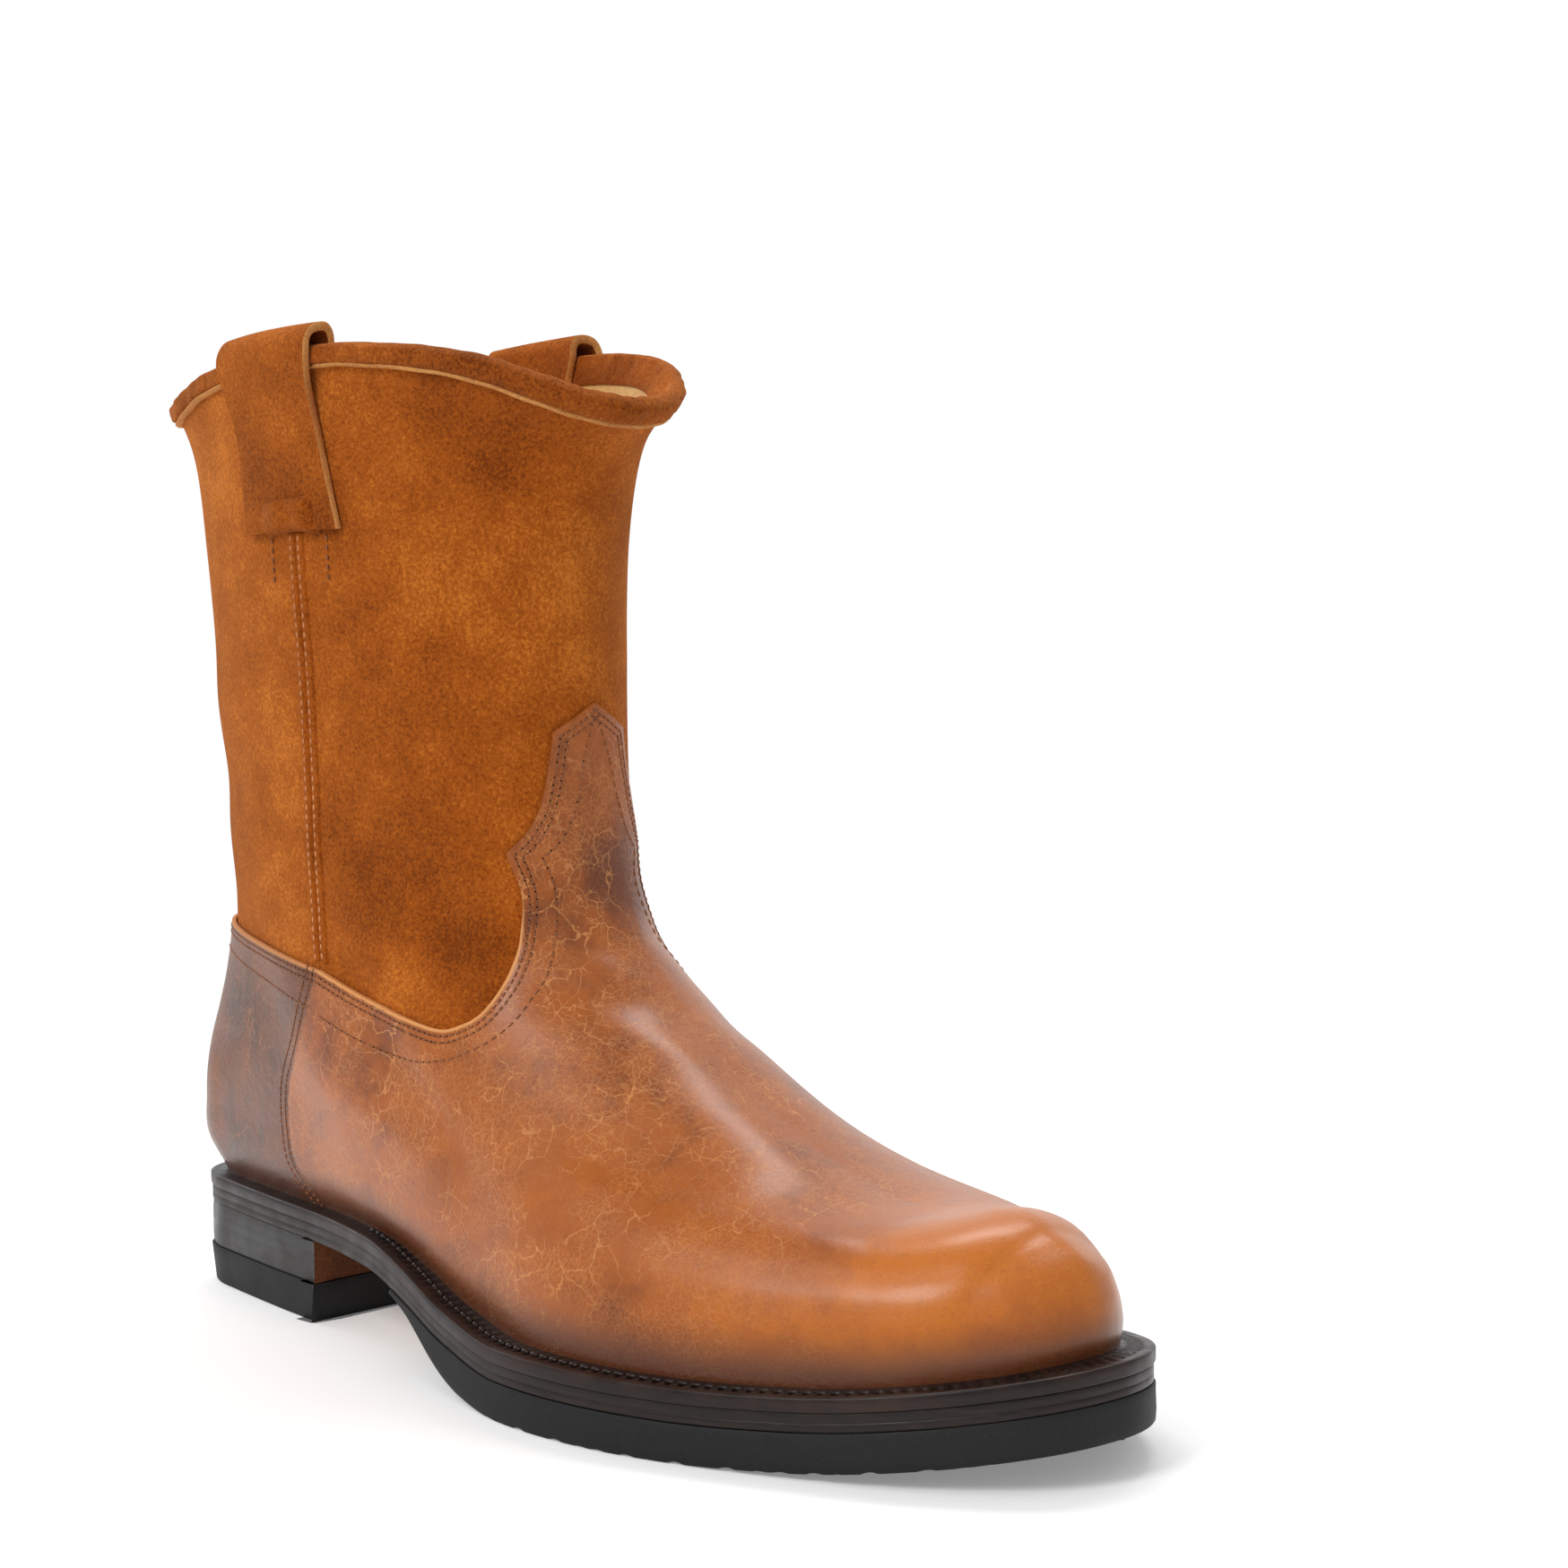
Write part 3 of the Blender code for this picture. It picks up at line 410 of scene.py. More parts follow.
FOLDS = (
    Fold("toe bulb", 2.6, 17.0, ((-0.20, 2.7), (-0.10, 3.1), (0.0, 3.2), (0.10, 3.1), (0.20, 2.7))),
    Fold("toe crown", 2.8, 24.0, ((0.0, 2.9), (0.0, 3.6), (0.0, 4.5))),
    Fold("ankle hollow", -1.1, 8.0, ((-0.10, 9.25), (0.0, 9.15), (0.12, 9.25))),
    Fold("ankle wrinkle", -0.9, 5.0, ((-0.17, 8.80), (-0.10, 8.62), (-0.02, 8.60))),
    Fold("ankle ridge", 0.7, 6.0, ((-0.13, 8.45), (-0.06, 8.22), (0.02, 8.15))),
    Fold("throat wrinkle", -0.7, 5.0, ((-0.24, 8.25), (-0.16, 8.05), (-0.08, 7.95))),
    Fold("throat ridge", 0.5, 7.0, ((-0.22, 7.70), (-0.12, 7.45), (-0.03, 7.30))),
    Fold("inner wrinkle", -0.8, 6.0, ((0.06, 8.70), (0.14, 8.55), (0.24, 8.30))),
    Fold("inner flex", -0.7, 7.0, ((0.10, 7.60), (0.20, 7.30), (0.32, 7.10))),
    Fold("vamp ridge", 0.6, 10.0, ((-0.16, 6.60), (-0.10, 6.00), (-0.06, 5.30))),
    Fold("vamp dip", -0.6, 12.0, ((-0.30, 5.60), (-0.26, 4.80), (-0.22, 4.20))),
    Fold("ball flex low", -0.5, 6.0, ((-0.42, 3.2), (-0.33, 3.7), (-0.24, 4.1))),
    Fold("ball flex high", -0.5, 5.0, ((0.05, 4.75), (0.18, 4.45), (0.32, 4.1))),
    Fold("outer wall", 0.5, 14.0, ((-0.55, 5.0), (-0.48, 4.2), (-0.42, 3.3))),
    Fold("heel dent", -0.5, 12.0, ((-0.80, 5.8), (-0.84, 4.8), (-0.82, 3.8))),
    Fold("shaft low fold", -1.4, 9.0, ((-0.33, 9.6), (-0.29, 8.9), (-0.31, 8.3))),
    Fold("shaft low ridge", 1.0, 8.0, ((-0.27, 9.7), (-0.235, 9.0), (-0.26, 8.4))),
    Fold("shaft side fold", -0.9, 10.0, ((-0.42, 9.9), (-0.38, 9.2), (-0.40, 8.5))),
    Fold("shaft brow", -1.0, 13.0, ((-0.36, 11.35), (-0.22, 11.45), (-0.08, 11.2))),
    Fold("shaft cheek", 0.9, 15.0, ((-0.34, 10.85), (-0.20, 10.8), (-0.06, 10.7))),
    Fold("shaft back", -1.0, 9.0, ((-0.62, 10.2), (-0.72, 9.9), (-0.84, 9.9))),
    Fold("shaft back high", 0.8, 10.0, ((-0.60, 10.9), (-0.70, 10.7), (-0.86, 10.9))),
    Fold("collar dip", -1.0, 12.0, ((-0.30, 12.9), (-0.16, 12.7), (-0.04, 12.5))),
    Fold("inner shaft", -1.0, 12.0, ((0.20, 11.2), (0.34, 10.6), (0.52, 10.4))),
    Fold("inner low", -1.1, 9.0, ((0.28, 9.7), (0.32, 9.0), (0.36, 8.4))),
    Fold("back crease", -0.9, 9.0, ((0.70, 9.8), (0.86, 9.6), (0.98, 9.9))),
)


class Skin:
    """The upper's outside with its folds."""

    reach = 3.0
    tip_share = 0.08

    def __init__(self, last: Last, folds: Sequence[Fold]) -> None:
        """Draws each fold's path on the last.

        Args:
            last: The form.
            folds: The folds to lay on it.
        """
        self.last = last
        self.folds = [(fold, self.drawn(fold.path)) for fold in folds]

    def drawn(self, path: Places, count: int = 13) -> Array:
        """A smooth line of points through places of u and t."""
        line = np.array(path, float)
        at = np.linspace(0.0, len(line) - 1.0, count)
        knots = np.arange(len(line))
        u = through(knots, line[:, 0], at)
        return self.last.surface(u, through(knots, line[:, 1], at))

    def lift(self, points: Array) -> Array:
        """How far the folds move each point outwards.

        Args:
            points: Points on the last's surface.

        Returns:
            The distance for each point.
        """
        moved = np.zeros(len(points))
        for fold, line in self.folds:
            reach = self.reach * fold.width * MM
            near = np.all((points > line.min(0) - reach) & (points < line.max(0) + reach), axis=1)
            some = points[near]
            if not len(some):
                continue
            best = np.full(len(some), np.inf)
            along = np.zeros(len(some))
            for k in range(len(line) - 1):
                step = line[k + 1] - line[k]
                share = np.clip((some - line[k]) @ step / (step @ step), 0.0, 1.0)
                away = np.linalg.norm(some - line[k] - share[:, None] * step, axis=1)
                closer = away < best
                best = np.where(closer, away, best)
                along = np.where(closer, (k + share) / (len(line) - 1), along)
            fade = np.sin(np.pi * (self.tip_share + (1.0 - 2.0 * self.tip_share) * along))
            moved[near] += fold.depth * MM * fade * np.exp(-((best / (fold.width * MM)) ** 2))
        return moved

    def at(self, u: Array, t: Array, off: Array | float) -> Array:
        """Points on the folded skin, in the boot's frame.

        Args:
            u: Places round the foot.
            t: Places up through the rings.
            off: How far outside the last.

        Returns:
            One point for each place.
        """
        u, t = (np.asarray(v, float).ravel() for v in np.broadcast_arrays(u, t))
        points = self.last.surface(u, t)
        out = np.broadcast_to(off, u.shape) + self.lift(points)
        points = points + self.last.normals(u, t) * out[:, None]
        return points - (self.last.heel_middle, 0.0, -self.last.gap)


SKIN = Skin(LAST, FOLDS)


@dataclass(frozen=True)
class Patterns:
    """The cut lines of the overlays, as rows of name, u from the front, and t."""

    vamp_curve: tuple = (
        ("side seam", 0.548, 7.53),
        ("after seam", 0.487, 7.25),
        ("low", 0.435, 7.13),
        ("lowest", 0.397, 7.11),
        ("rise start", 0.360, 7.29),
        ("rise", 0.293, 7.75),
        ("rise high", 0.236, 8.21),
        ("under notch", 0.191, 8.67),
        ("hollow", 0.167, 9.13),
        ("notch", 0.180, 9.47),
    )
    tongue: tuple = (
        ("notch", 0.180, 9.47),
        ("over notch", 0.146, 9.63),
        ("tongue low", 0.118, 9.85),
        ("tongue", 0.100, 10.15),
        ("shoulder", 0.086, 10.49),
    )
    peak: tuple = (("shoulder", 0.086, 10.49), ("peak", 0.000, 10.72))
    counter_top: tuple = (
        ("side seam", 0.548, 7.53),
        ("side", 0.624, 7.57),
        ("rear side", 0.721, 7.53),
        ("rear", 0.860, 7.45),
        ("back", 1.000, 7.42),
    )
    foot_seam: tuple = (
        ("top", 0.548, 7.53),
        ("upper bend", 0.582, 6.97),
        ("middle", 0.648, 5.37),
        ("low", 0.700, 2.90),
        ("foot", 0.706, 1.48),
        ("welt", 0.693, 0.00),
    )
    side_seam: tuple = (
        ("joint", 0.540, 7.70),
        ("bend", 0.487, 9.20),
        ("ankle", 0.476, 9.80),
        ("shaft", 0.469, 10.60),
        ("strap", 0.468, 12.03),
    )
    inner_row_low: tuple = (
        ("seam", 0.586, 6.52),
        ("after seam", 0.531, 6.27),
        ("low", 0.481, 6.22),
        ("lowest", 0.431, 6.45),
        ("rise", 0.366, 6.91),
        ("rise middle", 0.308, 7.33),
        ("rise high", 0.243, 7.79),
        ("under notch", 0.176, 8.27),
        ("hollow low", 0.143, 8.59),
        ("hollow", 0.117, 8.93),
        ("hollow high", 0.109, 9.19),
        ("notch", 0.122, 9.43),
    )
    inner_row_high: tuple = (
        ("notch", 0.122, 9.43),
        ("over notch", 0.078, 9.62),
        ("tongue low", 0.050, 9.89),
        ("tongue", 0.034, 10.20),
        ("peak", 0.004, 10.60),
    )
    counter_row: tuple = (
        ("seam", 0.598, 6.62),
        ("side", 0.660, 6.70),
        ("rear", 0.800, 6.72),
        ("back", 1.000, 6.70),
    )


PATTERNS = Patterns()
# How far one unit of u and one ring count, in millimetres, when places are spread
SPREAD = np.array([190.0, 18.0])


def line_through(rows: Sequence[tuple], spacing: float = 0.8) -> Array:
    """A smooth line of places through named rows.

    Args:
        rows: Rows of name, u and t.
        spacing: Millimetres from place to place, roughly.

    Returns:
        The places as u and t.
    """
    line = np.array([row[1:] for row in rows], float)
    along = np.r_[0.0, np.cumsum(np.hypot(*(np.diff(line, axis=0) * SPREAD).T))]
    at = np.unique(np.r_[np.linspace(0.0, along[-1], max(2, int(along[-1] / spacing))), along])
    return np.c_[through(along, line[:, 0], at), through(along, line[:, 1], at)]


def mirrored(line: Array, side: Side = Side.LATERAL) -> Array:
    """A line drawn on the inner side, laid on this side."""
    return line * (side.value, 1.0)


def moved_in(line: Array, by: float) -> Array:
    """A line moved over the skin to its left, seen from outside.

    Args:
        line: Places of u and t.
        by: Millimetres, below 0 to the right.

    Returns:
        The moved places, without those that fell too close to the line.
    """
    u, t = line.T
    beside, above, least = 1e-3, 1e-2, 0.93
    points = SKIN.at(u, t, 0.0)
    by_u = (SKIN.at(u + beside, t, 0.0) - points) / beside
    by_t = (SKIN.at(u, t + above, 0.0) - points) / above
    way = np.gradient(points, axis=0)
    across = np.cross(LAST.normals(u, t), way)
    across *= by * MM / np.linalg.norm(across, axis=1)[:, None]
    uu, ut, tt = ((a * b).sum(1) for a, b in ((by_u, by_u), (by_u, by_t), (by_t, by_t)))
    cu, ct = (by_u * across).sum(1), (by_t * across).sum(1)
    det = uu * tt - ut * ut
    made = line + np.c_[(cu * tt - ct * ut) / det, (ct * uu - cu * ut) / det]
    ends = SKIN.at(made[:, 0], made[:, 1], 0.0)
    apart = np.linalg.norm(ends[:, None, :] - points[None, :, :], axis=2).min(axis=1)
    return made[apart > least * abs(by) * MM]


# Meshes


def start_clean(piece: bpy.types.Object | None = None) -> None:
    """Deselects everything, so that an operator acts on the new piece, or on this one, alone."""
    bpy.ops.object.select_all(action="DESELECT")
    if piece:
        bpy.context.view_layer.objects.active = piece
        piece.select_set(True)


def set_points(piece: bpy.types.Object, points: Array) -> None:
    """Puts the piece's vertices at these points."""
    piece.data.vertices.foreach_set("co", np.asarray(points, np.float32).ravel())
    piece.data.update()


def read_points(piece: bpy.types.Object) -> Array:
    """The piece's vertices."""
    points = np.empty(len(piece.data.vertices) * 3, np.float32)
    piece.data.vertices.foreach_get("co", points)
    return points.reshape(-1, 3).astype(float)


def attribute(piece: bpy.types.Object, name: str, values: Array | float) -> None:
    """Stores one number for each vertex, for the piece's material."""
    made = piece.data.attributes.new(name, "FLOAT", "POINT")
    made.data.foreach_set("value", np.full(len(piece.data.vertices), values, np.float32))


def from_faces(name: str, points: Array, faces: list[tuple]) -> bpy.types.Object:
    """A new piece made straight from its points and faces."""
    mesh = bpy.data.meshes.new(name)
    mesh.from_pydata(points.tolist(), [], faces)
    piece = bpy.data.objects.new(name, mesh)
    bpy.context.scene.collection.objects.link(piece)
    return piece


def fill_holes(piece: bpy.types.Object) -> None:
    """Closes each open end with one face."""
    mesh = bmesh.new()
    mesh.from_mesh(piece.data)
    bmesh.ops.holes_fill(mesh, edges=[edge for edge in mesh.edges if edge.is_boundary], sides=0)
    mesh.to_mesh(piece.data)
    mesh.free()


def sheet(name: str, columns: int, rows: int, place: Place) -> bpy.types.Object:
    """A grid laid over a form.

    Args:
        name: The piece's name.
        columns: Faces across.
        rows: Faces up.
        place: Gives points for shares across and up, 0 to 1.

    Returns:
        The new piece, with its seams merged.
    """
    start_clean()
    bpy.ops.mesh.primitive_grid_add(x_subdivisions=columns, y_subdivisions=rows, size=2.0)
    piece = bpy.context.active_object
    piece.name = piece.data.name = name
    flat = read_points(piece)
    across = np.round((flat[:, 0] + 1.0) / 2.0 * columns) / columns
    up = np.round((flat[:, 1] + 1.0) / 2.0 * rows) / rows
    set_points(piece, place(across, up))
    bpy.ops.object.mode_set(mode="EDIT")
    bpy.ops.mesh.select_all(action="SELECT")
    bpy.ops.mesh.remove_doubles(threshold=2e-6)
    bpy.ops.object.mode_set(mode="OBJECT")
    return piece


def face_out(piece: bpy.types.Object) -> None:
    """Turns all the piece's faces outwards, an open sheet's away from the boot's middle."""
    start_clean(piece)
    bpy.ops.object.mode_set(mode="EDIT")
    bpy.ops.mesh.select_all(action="SELECT")
    bpy.ops.mesh.normals_make_consistent(inside=False)
    bpy.ops.object.mode_set(mode="OBJECT")
    outermost = max(piece.data.polygons, key=lambda face: abs(face.center.y))
    if outermost.normal.y * outermost.center.y < 0:
        piece.data.flip_normals()


def smooth(piece: bpy.types.Object, degrees: float) -> None:
    """Shades the piece smooth, with edges sharper than this left crisp."""
    start_clean(piece)
    bpy.ops.object.shade_smooth_by_angle(angle=math.radians(degrees))


def thicken(piece: bpy.types.Object, thickness: float, rounding: float = 0.0) -> None:
    """Gives an outer sheet its wall inwards, with softened cut edges.

    Args:
        piece: The sheet, facing out.
        thickness: Metres.
        rounding: The cut edges' bevel, in metres.
    """
    start_clean(piece)
    wall = piece.modifiers.new("wall", "SOLIDIFY")
    wall.thickness = thickness
    wall.offset = -1.0
    wall.use_even_offset = False
    bpy.ops.object.modifier_apply(modifier=wall.name)
    if rounding:
        edge = piece.modifiers.new("edge", "BEVEL")
        edge.width = rounding
        edge.segments = 2
        edge.limit_method = "ANGLE"
        edge.angle_limit = math.radians(50.0)
        bpy.ops.object.modifier_apply(modifier=edge.name)


def within(border: Array, places: Array) -> Array:
    """Which of the places lie inside the closed border."""
    ends = np.roll(border, -1, axis=0)
    found = np.zeros(len(places), int)
    for (ua, ta), (ub, tb) in zip(border, ends):
        if ta == tb:
            continue
        crossing = (ta > places[:, 1]) != (tb > places[:, 1])
        found += crossing & (places[:, 0] < ua + (places[:, 1] - ta) / (tb - ta) * (ub - ua))
    return found % 2 == 1


def nearest(places: Array, line: Array) -> Array:
    """The distance from each place to the nearest point of the line."""
    at_once = 2000
    parts = (places[start : start + at_once] for start in range(0, len(places), at_once))
    squares = [((part[:, None, :] - line) ** 2).sum(2).min(1) for part in parts]
    return np.sqrt(np.concatenate(squares))


def patch(name: str, border: Array, off: float, spacing: float) -> bpy.types.Object:
    """A piece of leather cut along a border and laid on the skin.

    Args:
        name: The piece's name.
        border: The closed border, as u and t.
        off: How far outside the shaft's leather.
        spacing: Millimetres from vertex to vertex.

    Returns:
        The sheet.
    """
    clear = 0.55 * spacing
    u_step, t_step = spacing / SPREAD
    low, high = border.min(axis=0), border.max(axis=0)
    u, t = np.meshgrid(np.arange(low[0], high[0], u_step), np.arange(low[1], high[1], t_step))
    u[1::2] += u_step / 2
    places = np.c_[u.ravel(), t.ravel()]
    places = places[within(border, places)]
    places = places[nearest(places * SPREAD, border * SPREAD) > clear]
    flat = np.vstack([border, places])
    rim = [(i, (i + 1) % len(border)) for i in range(len(border))]
    made = delaunay_2d_cdt([Vector(p) for p in flat * SPREAD], rim, [], 1, 1e-6)
    places = np.array([tuple(p) for p in made[0]]) / SPREAD
    points = SKIN.at(places[:, 0], places[:, 1], LAST.base_off(places[:, 1]) + off)
    return from_faces(name, points, [tuple(face) for face in made[2]])


def spaced(points: Array, pitch: float) -> Array:
    """Even stations along a polyline.

    Args:
        points: The polyline.
        pitch: Metres from station to station.

    Returns:
        The stations' indices into the polyline, as fractions.
    """
    along = np.r_[0.0, np.cumsum(np.linalg.norm(np.diff(points, axis=0), axis=1))]
    count = max(1, int(along[-1] / pitch))
    at = (np.arange(count) + 0.5) * along[-1] / count
    return np.interp(at, along, np.arange(len(points)))


def between(values: Array, index: Array) -> Array:
    """Rows of an array read at fractional indices."""
    whole = np.arange(len(values))
    return np.stack([np.interp(index, whole, column) for column in values.T], axis=1)


class Threads:
    """Stitches gathered into one piece: short rounded lengths of thread."""

    def __init__(self, name: str) -> None:
        """Starts an empty piece of this name."""
        self.name = name
        self.points: list[Array] = []
        start_clean()
        bpy.ops.mesh.primitive_uv_sphere_add(segments=6, ring_count=4, radius=0.5)
        model = bpy.context.active_object
        self.model = read_points(model)
        self.faces = [tuple(face.vertices) for face in model.data.polygons]
        bpy.data.objects.remove(model)

    def add(self, centre: Array, way: Array, out: Array, size: tuple[float, float, float]) -> None:
        """Adds one rounded shape at each place.

        Args:
            centre: The shapes' middles.
            way: The direction of each one's length.
            out: The direction away from the leather.
            size: Length, breadth and height, in metres.
        """
        way = way / np.linalg.norm(way, axis=1)[:, None]
        across = np.cross(out, way)
        across /= np.linalg.norm(across, axis=1)[:, None]
        out = np.cross(way, across)
        shape = self.model[:, (2, 0, 1)] * size
        for middle, *axes in zip(centre, way, across, out):
            self.points.append(middle + shape @ np.array(axes))

    def row(self, line: Array, up: Array, pitch: float, length: float, thick: float) -> None:
        """Adds a row of stitches.

        Args:
            line: The row's points.
            up: The direction away from the leather at each point.
            pitch: Metres from stitch to stitch.
            length: Each stitch's length, in metres.
            thick: The thread's thickness, in metres.
        """
        index = spaced(line, pitch)
        way = between(np.gradient(line, axis=0), index)
        self.add(between(line, index), way, between(up, index), (length, thick, thick))

    def on_skin(self, line: Array, off: float, pitch: float, length: float, thick: float) -> None:
        """Adds a row that follows places on the skin.

        Args:
            line: Places of u and t.
            off: How far the thread's middle lies outside the shaft's leather.
            pitch: Metres from stitch to stitch.
            length: Each stitch's length, in metres.
            thick: The thread's thickness, in metres.
        """
        if len(line) > 2:
            points = SKIN.at(line[:, 0], line[:, 1], LAST.base_off(line[:, 1]) + off)
            self.row(points, LAST.normals(line[:, 0], line[:, 1]), pitch, length, thick)

    def hand_over(self, finish: bpy.types.Material, slot: str) -> None:
        """Makes the piece from all its rows and fixes it to the boot.

        Args:
            finish: The thread's material.
            slot: The record's material slot.
        """
        count = len(self.model)
        faces = [tuple(v + k * count for v in face) for k in range(len(self.points)) for face in self.faces]
        hand_over(from_faces(self.name, np.vstack(self.points), faces), 80.0, [finish], slot)


def hand_over(
    piece: bpy.types.Object, degrees: float, finishes: Sequence[bpy.types.Material], slot: str, *nodes: str
) -> None:
    """Shades a piece, gives it its finishes, fixes it to the boot and hides the solids it stands for.

    Args:
        piece: The piece.
        degrees: Edges sharper than this stay crisp.
        finishes: Its materials.
        slot: The record's material slot. Not used.
        nodes: The solids that it stands for.
    """
    smooth(piece, degrees)
    for finish in finishes:
        piece.data.materials.append(finish)
    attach(piece, "root")
    if nodes:
        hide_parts(*nodes)
    LOG.info("%s: %d faces", piece.name, len(piece.data.polygons))


# Materials


def linear(red: float, green: float, blue: float) -> tuple[float, float, float, float]:
    """A colour given as the screen shows it (0 to 255), as light."""
    shown = (red, green, blue)
    return (*(((v / 255.0 + 0.055) / 1.055) ** 2.4 if v > 10 else v / 3294.6 for v in shown), 1.0)


Socket = bpy.types.NodeSocket


class Graph:
    """A short way to write a node tree."""

    def __init__(self, tree: bpy.types.NodeTree) -> None:
        """Takes the tree to fill."""
        self.tree = tree

    def feed(self, node: bpy.types.Node, **inputs: object) -> None:
        """Links or sets a node's inputs.

        Args:
            node: The node.
            inputs: Sockets or values, by name with _ for a space, or i0, i1... by number.
        """
        for key, value in inputs.items():
            numbered = key[0] == "i" and key[1:].isdigit()
            socket = node.inputs[int(key[1:]) if numbered else key.replace("_", " ")]
            if isinstance(value, Socket):
                self.tree.links.new(value, socket)
            else:
                socket.default_value = value

    def add(self, kind: str, settings: dict | None = None, **inputs: object) -> bpy.types.Node:
        """Adds a node.

        Args:
            kind: The node's type, without the ShaderNode prefix.
            settings: The node's own properties.
            inputs: Sockets or values for its inputs, as feed takes them.

        Returns:
            The new node.
        """
        node = self.tree.nodes.new("ShaderNode" + kind)
        for key, value in (settings or {}).items():
            setattr(node, key, value)
        self.feed(node, **inputs)
        return node

    def math(self, operation: str, a: object, b: object = 0.0) -> Socket:
        """One step of arithmetic."""
        return self.add("Math", {"operation": operation}, i0=a, i1=b).outputs[0]

    def total(self, start: object, *terms: tuple[Socket, float]) -> Socket:
        """The start with each socket added, times its weight."""
        for socket, weight in terms:
            start = self.math("ADD", start, self.math("MULTIPLY", socket, weight))
        return start

    def vector(self, operation: str, **inputs: object) -> bpy.types.Node:
        """One step of vector arithmetic."""
        return self.add("VectorMath", {"operation": operation}, **inputs)

    def step(self, value: object, low: float, high: float, *ends: float) -> Socket:
        """A smooth ramp of a value from low to high, between the ends or else 0 and 1."""
        to_low, to_high = ends or (0.0, 1.0)
        settings = {"interpolation_type": "SMOOTHSTEP"}
        return self.add("MapRange", settings, i0=value, i1=low, i2=high, i3=to_low, i4=to_high).outputs[0]

    def mix(self, share: object, a: object, b: object) -> Socket:
        """A blend of two colours."""
        return self.add("Mix", {"data_type": "RGBA"}, i0=share, i6=a, i7=b).outputs[2]

    def three(self, tone: Socket, low: Sequence[float], high: Sequence[float], finish: "Coloured") -> Socket:
        """A finish's dark, middle and light, stepped over the tone."""
        base = self.mix(self.step(tone, *low), linear(*finish.dark), linear(*finish.middle))
        return self.mix(self.step(tone, *high), base, linear(*finish.light))

    def noise(self, where: object, scale: float, detail: float = 2.0, rough: float = 0.5) -> Socket:
        """Noise from 0 to 1 at this many bumps a metre."""
        made = self.add("TexNoise", None, Vector=where, Scale=scale, Detail=detail, Roughness=rough)
        return made.outputs[0]

    def read(self, name: str) -> Socket:
        """One of the piece's own numbers."""
        return self.add("Attribute", {"attribute_name": name}).outputs["Fac"]

    def bump(self, height: Socket, strength: float, distance: float) -> Socket:
        """The normal over a relief."""
        return self.add("Bump", None, Strength=strength, Distance=distance, Height=height).outputs[0]


def group(name: str, output: str, fill: Callable[[Graph, Socket, Socket], Socket]) -> bpy.types.NodeTree:
    """A shared node group with a place and a scale.

    Args:
        name: The group's name.
        output: Its output's name.
        fill: Draws the inside from a graph, the place and the scale, and returns the output.

    Returns:
        The group.
    """
    tree = bpy.data.node_groups.new(name, "ShaderNodeTree")
    tree.interface.new_socket(name="Vector", in_out="INPUT", socket_type="NodeSocketVector")
    tree.interface.new_socket(name="Scale", in_out="INPUT", socket_type="NodeSocketFloat")
    tree.interface.new_socket(name=output, in_out="OUTPUT", socket_type="NodeSocketFloat")
    source = tree.nodes.new("NodeGroupInput").outputs
    made = fill(Graph(tree), source["Vector"], source["Scale"])
    tree.links.new(made, tree.nodes.new("NodeGroupOutput").inputs[output])
    return tree


# size against the group's scale, line width, push in metres, mask scale, mask low and high, weight
CREASE_NETS = (
    (0.45, 0.026, 0.0140, 48.0, 0.46, 0.60, 0.9),
    (1.05, 0.044, 0.0068, 70.0, 0.42, 0.60, 0.8),
    (2.60, 0.096, 0.0026, 60.0, 0.36, 0.62, 0.5),
)


def fill_crackle(graph: Graph, where: Socket, scale: Socket) -> Socket:
    """Nets of fine creases: strongly warped cells whose borders come and go."""
    total = 0.0
    for times, width, push_by, mask, low, high, weight in CREASE_NETS:
        size = graph.math("MULTIPLY", scale, times)
        half = graph.math("MULTIPLY", size, 0.5)
        warp = graph.add("TexNoise", None, Vector=where, Scale=half, Detail=4.0, Roughness=0.6)
        middle = graph.vector("SUBTRACT", i0=warp.outputs[1], i1=(0.5, 0.5, 0.5))
        push = graph.vector("SCALE", i0=middle.outputs[0], Scale=push_by)
        moved = graph.vector("ADD", i0=where, i1=push.outputs[0]).outputs[0]
        cells = graph.add("TexVoronoi", {"feature": "DISTANCE_TO_EDGE"}, Vector=moved, Scale=size)
        line = graph.step(cells.outputs[0], 0.0, width, weight, 0.0)
        shown = graph.step(graph.noise(where, mask, 3.0), low, high)
        total = graph.math("MAXIMUM", total, graph.math("MULTIPLY", line, shown))
    return total


def fill_grain(graph: Graph, where: Socket, scale: Socket) -> Socket:
    """Fine grain: pores and small pebbles."""
    fine = graph.noise(where, scale, 3.0, 0.65)
    cells = graph.add("TexVoronoi", None, Vector=where, Scale=graph.math("MULTIPLY", scale, 0.8))
    return graph.total(0.0, (fine, 0.6), (graph.step(cells.outputs[0], 0.1, 0.6), 0.4))


class Shared:
    """The node groups that several finishes share."""

    def __init__(self) -> None:
        """Builds each group once."""
        self.crackle = group("crease_net", "Lines", fill_crackle)
        self.grain = group("leather_grain", "Height", fill_grain)

    def use(self, graph: Graph, tree: bpy.types.NodeTree, where: Socket, scale: float) -> Socket:
        """A group's output at this many bumps a metre."""
        node = graph.tree.nodes.new("ShaderNodeGroup")
        node.node_tree = tree
        graph.feed(node, Vector=where, Scale=scale)
        return node.outputs[0]


def new_material(name: str) -> tuple[bpy.types.Material, Graph, bpy.types.Node, Socket]:
    """An empty material.

    Args:
        name: Its name.

    Returns:
        The material, its graph, its Principled shader and its object coordinates.
    """
    made = bpy.data.materials.new(name)
    made.use_nodes = True
    graph = Graph(made.node_tree)
    shader = made.node_tree.nodes["Principled BSDF"]
    return made, graph, shader, graph.add("TexCoord").outputs["Object"]


